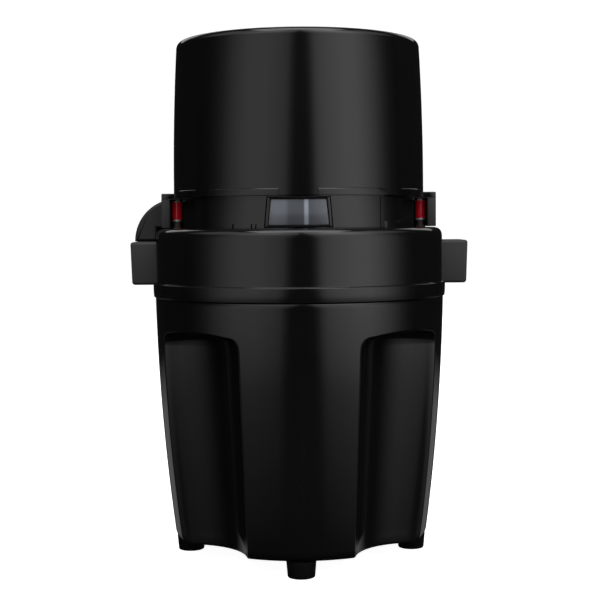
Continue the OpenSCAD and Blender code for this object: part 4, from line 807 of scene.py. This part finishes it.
EAR_BLOCKS = (
    ((POCKET_IN, -EAR_Y, 175.7), (EAR_X, EAR_Y, 176.45), 0.25),
    ((61.2, -EAR_Y, 175.7), (EAR_X, EAR_Y, 178.9), 0.6),
    ((63.5, -EAR_Y, 161.9), (EAR_X, EAR_Y, 176.1), 0.35),
    ((POCKET_IN, 6.4, 161.9), (EAR_X, EAR_Y, 165.4), 0.3),
    ((POCKET_IN, 6.4, 165.3), (EAR_X, EAR_Y, 176.1), 0.3))
TAB_OUTLINE = band_outline(59.5, 61.3, 155.3, 164.8, foot_round=0.2, top_round=1.2, segments=6)
TAB_START, TAB_END, TAB_STEPS = 40.6, 51.6, 14
FRAME_FOOT, FRAME_TOP = 162.0, 176.1
OPENING_HALF, OPENING_DRAFT, OPENING_IN_R, OPENING_BELOW = 15.85, 1.25, 59.1, 176.6
# Paints of the skirt and the frame: gloss, painted shade for recesses, and matte.
GLOSS, PAINTED_DARK, MATTE = 0, 1, 2
POCKET_FACE_TURNS, POCKET_FACE_R, POCKET_FACE_Z = (54.6, 97), 57.6, 175.8
SLIT_FACE_R, SILL_FACE_X, SILL_FACE_Y, SILL_FACE_Z = (60.75, 60.85), 55.5, (6.3, 8.2), 165.35
WALL_FACE_X, WALL_FACE_Y, WALL_FACE_Z = 63.2, (-8.2, 8.2), 175.75
TAB_FACE_TURNS, TAB_FACE_R, TAB_FACE_Z = (40.5, 42.2), (61.0, 61.4), 164.9
skirt_bm = bmesh.new()


def skirt_panel(inner, outer, foot, top, start, end, steps, foot_round=0.35, top_round=0.25):
    """A strip of the skirt between two radii, two heights and two turns in degrees from the front."""
    arc_strip(skirt_bm, band_outline(inner, outer, foot, top, foot_round, top_round, 3), start, end, steps)


def within(value, bounds):
    return bounds[0] < value < bounds[1]


def ear_block(side, lo, hi, rounding):
    block = bmesh.ops.create_cube(skirt_bm, size=1)["verts"]
    bmesh.ops.scale(skirt_bm, vec=hi - lo, verts=block)
    bmesh.ops.translate(skirt_bm, vec=(lo + hi) / 2, verts=block)
    bmesh.ops.scale(skirt_bm, vec=(side, 1, 1), verts=block)
    block_edges = list({e for v in block for e in v.link_edges})
    bmesh.ops.bevel(skirt_bm, geom=block_edges, offset=rounding, segments=3, profile=0.5,
                    affect="EDGES", material=-1)


skirt_panel(SKIRT_IN, SKIRT_R, SKIRT_FOOT, SILL_TOP, -OPENING_TURN, OPENING_TURN, 24, 0, 0)
skirt_panel(SPIGOT_IN, SPIGOT_R, SPIGOT_FOOT, SPIGOT_TOP, -180, 180, 160, 0, 0)
skirt_panel(POCKET_R, SKIRT_R, LINTEL_FOOT, SKIRT_TOP, -LEFT_END, LINTEL_END, 60, 0, 0)
slit_edges = [OPENING_TURN] + [turn for slit in SLITS for turn in slit] + [LEFT_END]
for start, end in zip(slit_edges[0::2], slit_edges[1::2]):
    skirt_panel(FACE_IN, SKIRT_R, SKIRT_FOOT, SLIT_TOP, -start, -end, 12, top_round=0)
skirt_panel(SKIRT_IN, CORE_R, SKIRT_FOOT, SLIT_TOP, -OPENING_TURN, -LEFT_END, 40, 0, 0)
skirt_panel(SKIRT_IN, SKIRT_R, SLIT_TOP, SKIRT_TOP, -OPENING_TURN, -LEFT_END, 56, foot_round=0)
for start, end in RIGHT_PANELS:
    skirt_panel(FACE_IN, SKIRT_R, SKIRT_FOOT, SKIRT_TOP, start, end, 24)
skirt_panel(SKIRT_IN, CORE_R, SKIRT_FOOT, SKIRT_TOP, OPENING_TURN, RIGHT_END, 40, 0, 0)
for side in (-1, 1):
    skirt_panel(STEP_IN, STEP_R, SKIRT_FOOT, SKIRT_TOP, side * STEP_STARTS[side], side * STEP_END, 16)
    skirt_panel(POCKET_IN, POCKET_R, SKIRT_FOOT, POCKET_TOP, side * POCKET_START, side * POCKET_END, 48)
    skirt_panel(POCKET_IN, SKIRT_R, LID_FOOT, SKIRT_TOP, side * STEP_END, side * REAR_START, 48, 0.15, 0.15)
    skirt_panel(SKIRT_IN, SKIRT_R, SKIRT_FOOT, SKIRT_TOP, side * REAR_START, side * 180, 80)
    for lo, hi, rounding in EAR_BLOCKS:
        ear_block(side, Vector(lo), Vector(hi), rounding)
arc_strip(skirt_bm, TAB_OUTLINE, TAB_START, TAB_END, TAB_STEPS)
# The strips beside the window are pulled to the slope of its sides.
for v in skirt_bm.verts:
    length = v.co.xy.length
    turn = math.degrees(math.atan2(v.co.x, -v.co.y))
    if length > OPENING_IN_R and abs(turn) < LEFT_END and v.co.z < OPENING_BELOW:
        edge_x = OPENING_HALF - OPENING_DRAFT * (v.co.z - FRAME_FOOT) / (FRAME_TOP - FRAME_FOOT)
        edge_turn = math.degrees(math.asin(edge_x / length))
        if abs(turn) > OPENING_TURN:
            beyond = (LEFT_END - abs(turn)) * (LEFT_END - edge_turn) / (LEFT_END - OPENING_TURN)
            moved = math.radians(math.copysign(LEFT_END - beyond, turn))
        else:
            moved = math.radians(turn * edge_turn / OPENING_TURN)
        v.co.x = length * math.sin(moved)
        v.co.y = -length * math.cos(moved)
# The pockets and the slits are painted near black and barely shiny inside as painted shade, and the ears'
# walls, their sills and the tab are matte.
for f in skirt_bm.faces:
    middle = f.calc_center_median()
    out = middle.xy.length
    turn = math.degrees(math.atan2(abs(middle.x), -middle.y))
    in_pocket = within(turn, POCKET_FACE_TURNS) and out < POCKET_FACE_R and middle.z < POCKET_FACE_Z
    in_slit = within(out, SLIT_FACE_R) and turn < LEFT_END
    on_wall = abs(middle.x) > WALL_FACE_X and within(middle.y, WALL_FACE_Y) and middle.z < WALL_FACE_Z
    on_right_tab = middle.x > 0 and within(turn, TAB_FACE_TURNS) and within(out, TAB_FACE_R)
    on_tab = on_right_tab and middle.z < TAB_FACE_Z
    on_sill = abs(middle.x) > SILL_FACE_X and within(middle.y, SILL_FACE_Y) and middle.z < SILL_FACE_Z
    f.material_index = GLOSS
    if on_wall or on_sill or on_tab:
        f.material_index = MATTE
    if in_pocket or in_slit:
        f.material_index = PAINTED_DARK
# Painted shade: a near-black, barely shiny paint for recesses where shade falls, namely the pockets, the
# slits and the frame's rails.
painted_shade_black = skin_material("painted_shade_black", (0.0015, 0.0015, 0.0016), (0.003, 0.003, 0.003),
                           polish=0.75, spread=0.1, grain=1800, depth=0.2, Specular_IOR_Level=0.15)
place_piece("skirt_band", skirt_bm, gloss_black, "cover", "gloss_black", "skirt_ring",
            paints=(painted_shade_black, matte_grey))

# Window: a trapezoid frame in gloss black plastic, bent to the skirt, round a smoky clear pane.
# The frame is pressed into the skirt's gap, and the pane into the frame. Both start as flat plates.
FRAME_FOOT_HALF, FRAME_TOP_HALF, FRAME_R, FRAME_DEPTH, FRAME_ROUND = 15.5, 14.25, 61.9, 2.6, 0.4
HOLE_FOOT_HALF, HOLE_TOP_HALF, FRAME_RAIL = 14.1, 12.85, 1.1
PANE_FOOT_HALF, PANE_TOP_HALF, PANE_SET = 13.85, 12.6, 1.25
PANE_R, PANE_DEPTH, PANE_ROUND = 61.1, 1.4, 0.1
PLATE_CUTS, LONG_EDGE, RIM_ANGLE = 20, 15, 1.2
# The pane's colour is painted light. Streaks paint a reflection of the steel bowl behind it, lighter at the
# left and brightest just right of the middle. A painted shade darkens it towards its foot.
PANE_PAINTED_STREAKS = [(-0.014, 0.9), (-0.0115, 1.3), (-0.006, 1.25), (-0.0045, 0.85), (0.0022, 0.9),
                (0.0029, 2.9), (0.0041, 2.9), (0.0048, 0.9), (0.009, 0.85), (0.014, 1.1)]
PANE_PAINTED_FOOT_SHADE = [(0.163, 0.66), (0.1665, 0.7), (0.169, 1.0), (0.175, 1.05)]


def trapezoid(half_foot, half_top, set_in=0.0):
    """Corners of the frame's outline, set in from its foot and its top."""
    foot, top = FRAME_FOOT + set_in, FRAME_TOP - set_in
    return [(-half_foot, foot), (half_foot, foot), (half_top, top), (-half_top, top)]


def bent_plate(bm, outside, hole, outer_r, depth, rounding):
    """A plate by its corners and those of its hole, seen from the front and wrapped round the shaft."""
    rim = [bm.verts.new((x, 0, z)) for x, z in outside]
    inner = [bm.verts.new((x, 0, z)) for x, z in hole]
    if hole:
        for i in range(4):
            bm.faces.new([rim[i - 1], rim[i], inner[i], inner[i - 1]])
    else:
        bm.faces.new(rim)
    across = [e for e in bm.edges if abs(e.verts[0].co.x - e.verts[1].co.x) > LONG_EDGE]
    bmesh.ops.subdivide_edges(bm, edges=across, cuts=PLATE_CUTS, use_grid_fill=True)
    lifted = bmesh.ops.extrude_face_region(bm, geom=bm.faces[:])["geom"]
    front = [v for v in lifted if isinstance(v, bmesh.types.BMVert)]
    bmesh.ops.translate(bm, verts=front, vec=(0, -depth, 0))
    bmesh.ops.recalc_face_normals(bm, faces=bm.faces)
    rims = [e for e in bm.edges if len(e.link_faces) == 2 and e.calc_face_angle() > RIM_ANGLE
            and all(v.co.y < -depth / 2 for v in e.verts)]
    bmesh.ops.bevel(bm, geom=rims, offset=rounding, segments=3, profile=0.5, affect="EDGES", material=-1)
    for v in bm.verts:
        v.co.y = -math.sqrt((outer_r - depth - v.co.y) ** 2 - v.co.x ** 2)


bezel_bm = bmesh.new()
bent_plate(bezel_bm, trapezoid(FRAME_FOOT_HALF, FRAME_TOP_HALF),
           trapezoid(HOLE_FOOT_HALF, HOLE_TOP_HALF, FRAME_RAIL), FRAME_R, FRAME_DEPTH, FRAME_ROUND)
# The frame's top and bottom rails take the near-black paint as a painted shadow line along the pane's
# edges.
for f in bezel_bm.faces:
    middle = f.calc_center_median()
    on_rail = middle.z < FRAME_FOOT + FRAME_RAIL or middle.z > FRAME_TOP - FRAME_RAIL
    f.material_index = PAINTED_DARK if on_rail else GLOSS
place_piece("window_frame", bezel_bm, gloss_black, "cover", "gloss_black", "window_bezel",
            paints=(painted_shade_black,))
pane_bm = bmesh.new()
bent_plate(pane_bm, trapezoid(PANE_FOOT_HALF, PANE_TOP_HALF, PANE_SET), [], PANE_R, PANE_DEPTH, PANE_ROUND)
smoky = skin_material("smoky_pane", (0.125, 0.136, 0.157), (0.142, 0.153, 0.176),
                      polish=0.06, spread=0.04, grain=300, depth=0.02, Transmission_Weight=0.1, IOR=1.5)
# Painted light on the pane: its tint is scaled by the painted reflection streaks across it and by the
# painted shade rising from its foot.
pane_tree = smoky.node_tree
pane_shader = pane_tree.nodes["Principled BSDF"]
pane_place = pane_tree.nodes.new("ShaderNodeTexCoord")
pane_split = pane_tree.nodes.new("ShaderNodeSeparateXYZ")
pane_shade = pane_tree.nodes.new("ShaderNodeVectorMath")
pane_shade.operation = "SCALE"
pane_tree.links.new(pane_place.outputs["Object"], pane_split.inputs["Vector"])
pane_tint = pane_shader.inputs["Base Color"].links[0].from_socket
pane_tree.links.new(pane_tint, pane_shade.inputs["Vector"])
pane_painted_streak = smooth_ramp(pane_tree, pane_split.outputs["X"], PANE_PAINTED_STREAKS)
pane_painted_foot_shade = smooth_ramp(pane_tree, pane_split.outputs["Z"], PANE_PAINTED_FOOT_SHADE)
pane_tree.links.new(math_node(pane_tree, "MULTIPLY", pane_painted_streak, pane_painted_foot_shade), pane_shade.inputs["Scale"])
pane_tree.links.new(pane_shade.outputs["Vector"], pane_shader.inputs["Base Color"])
place_piece("window_glass", pane_bm, smoky, "cover", "pane", "window_pane")
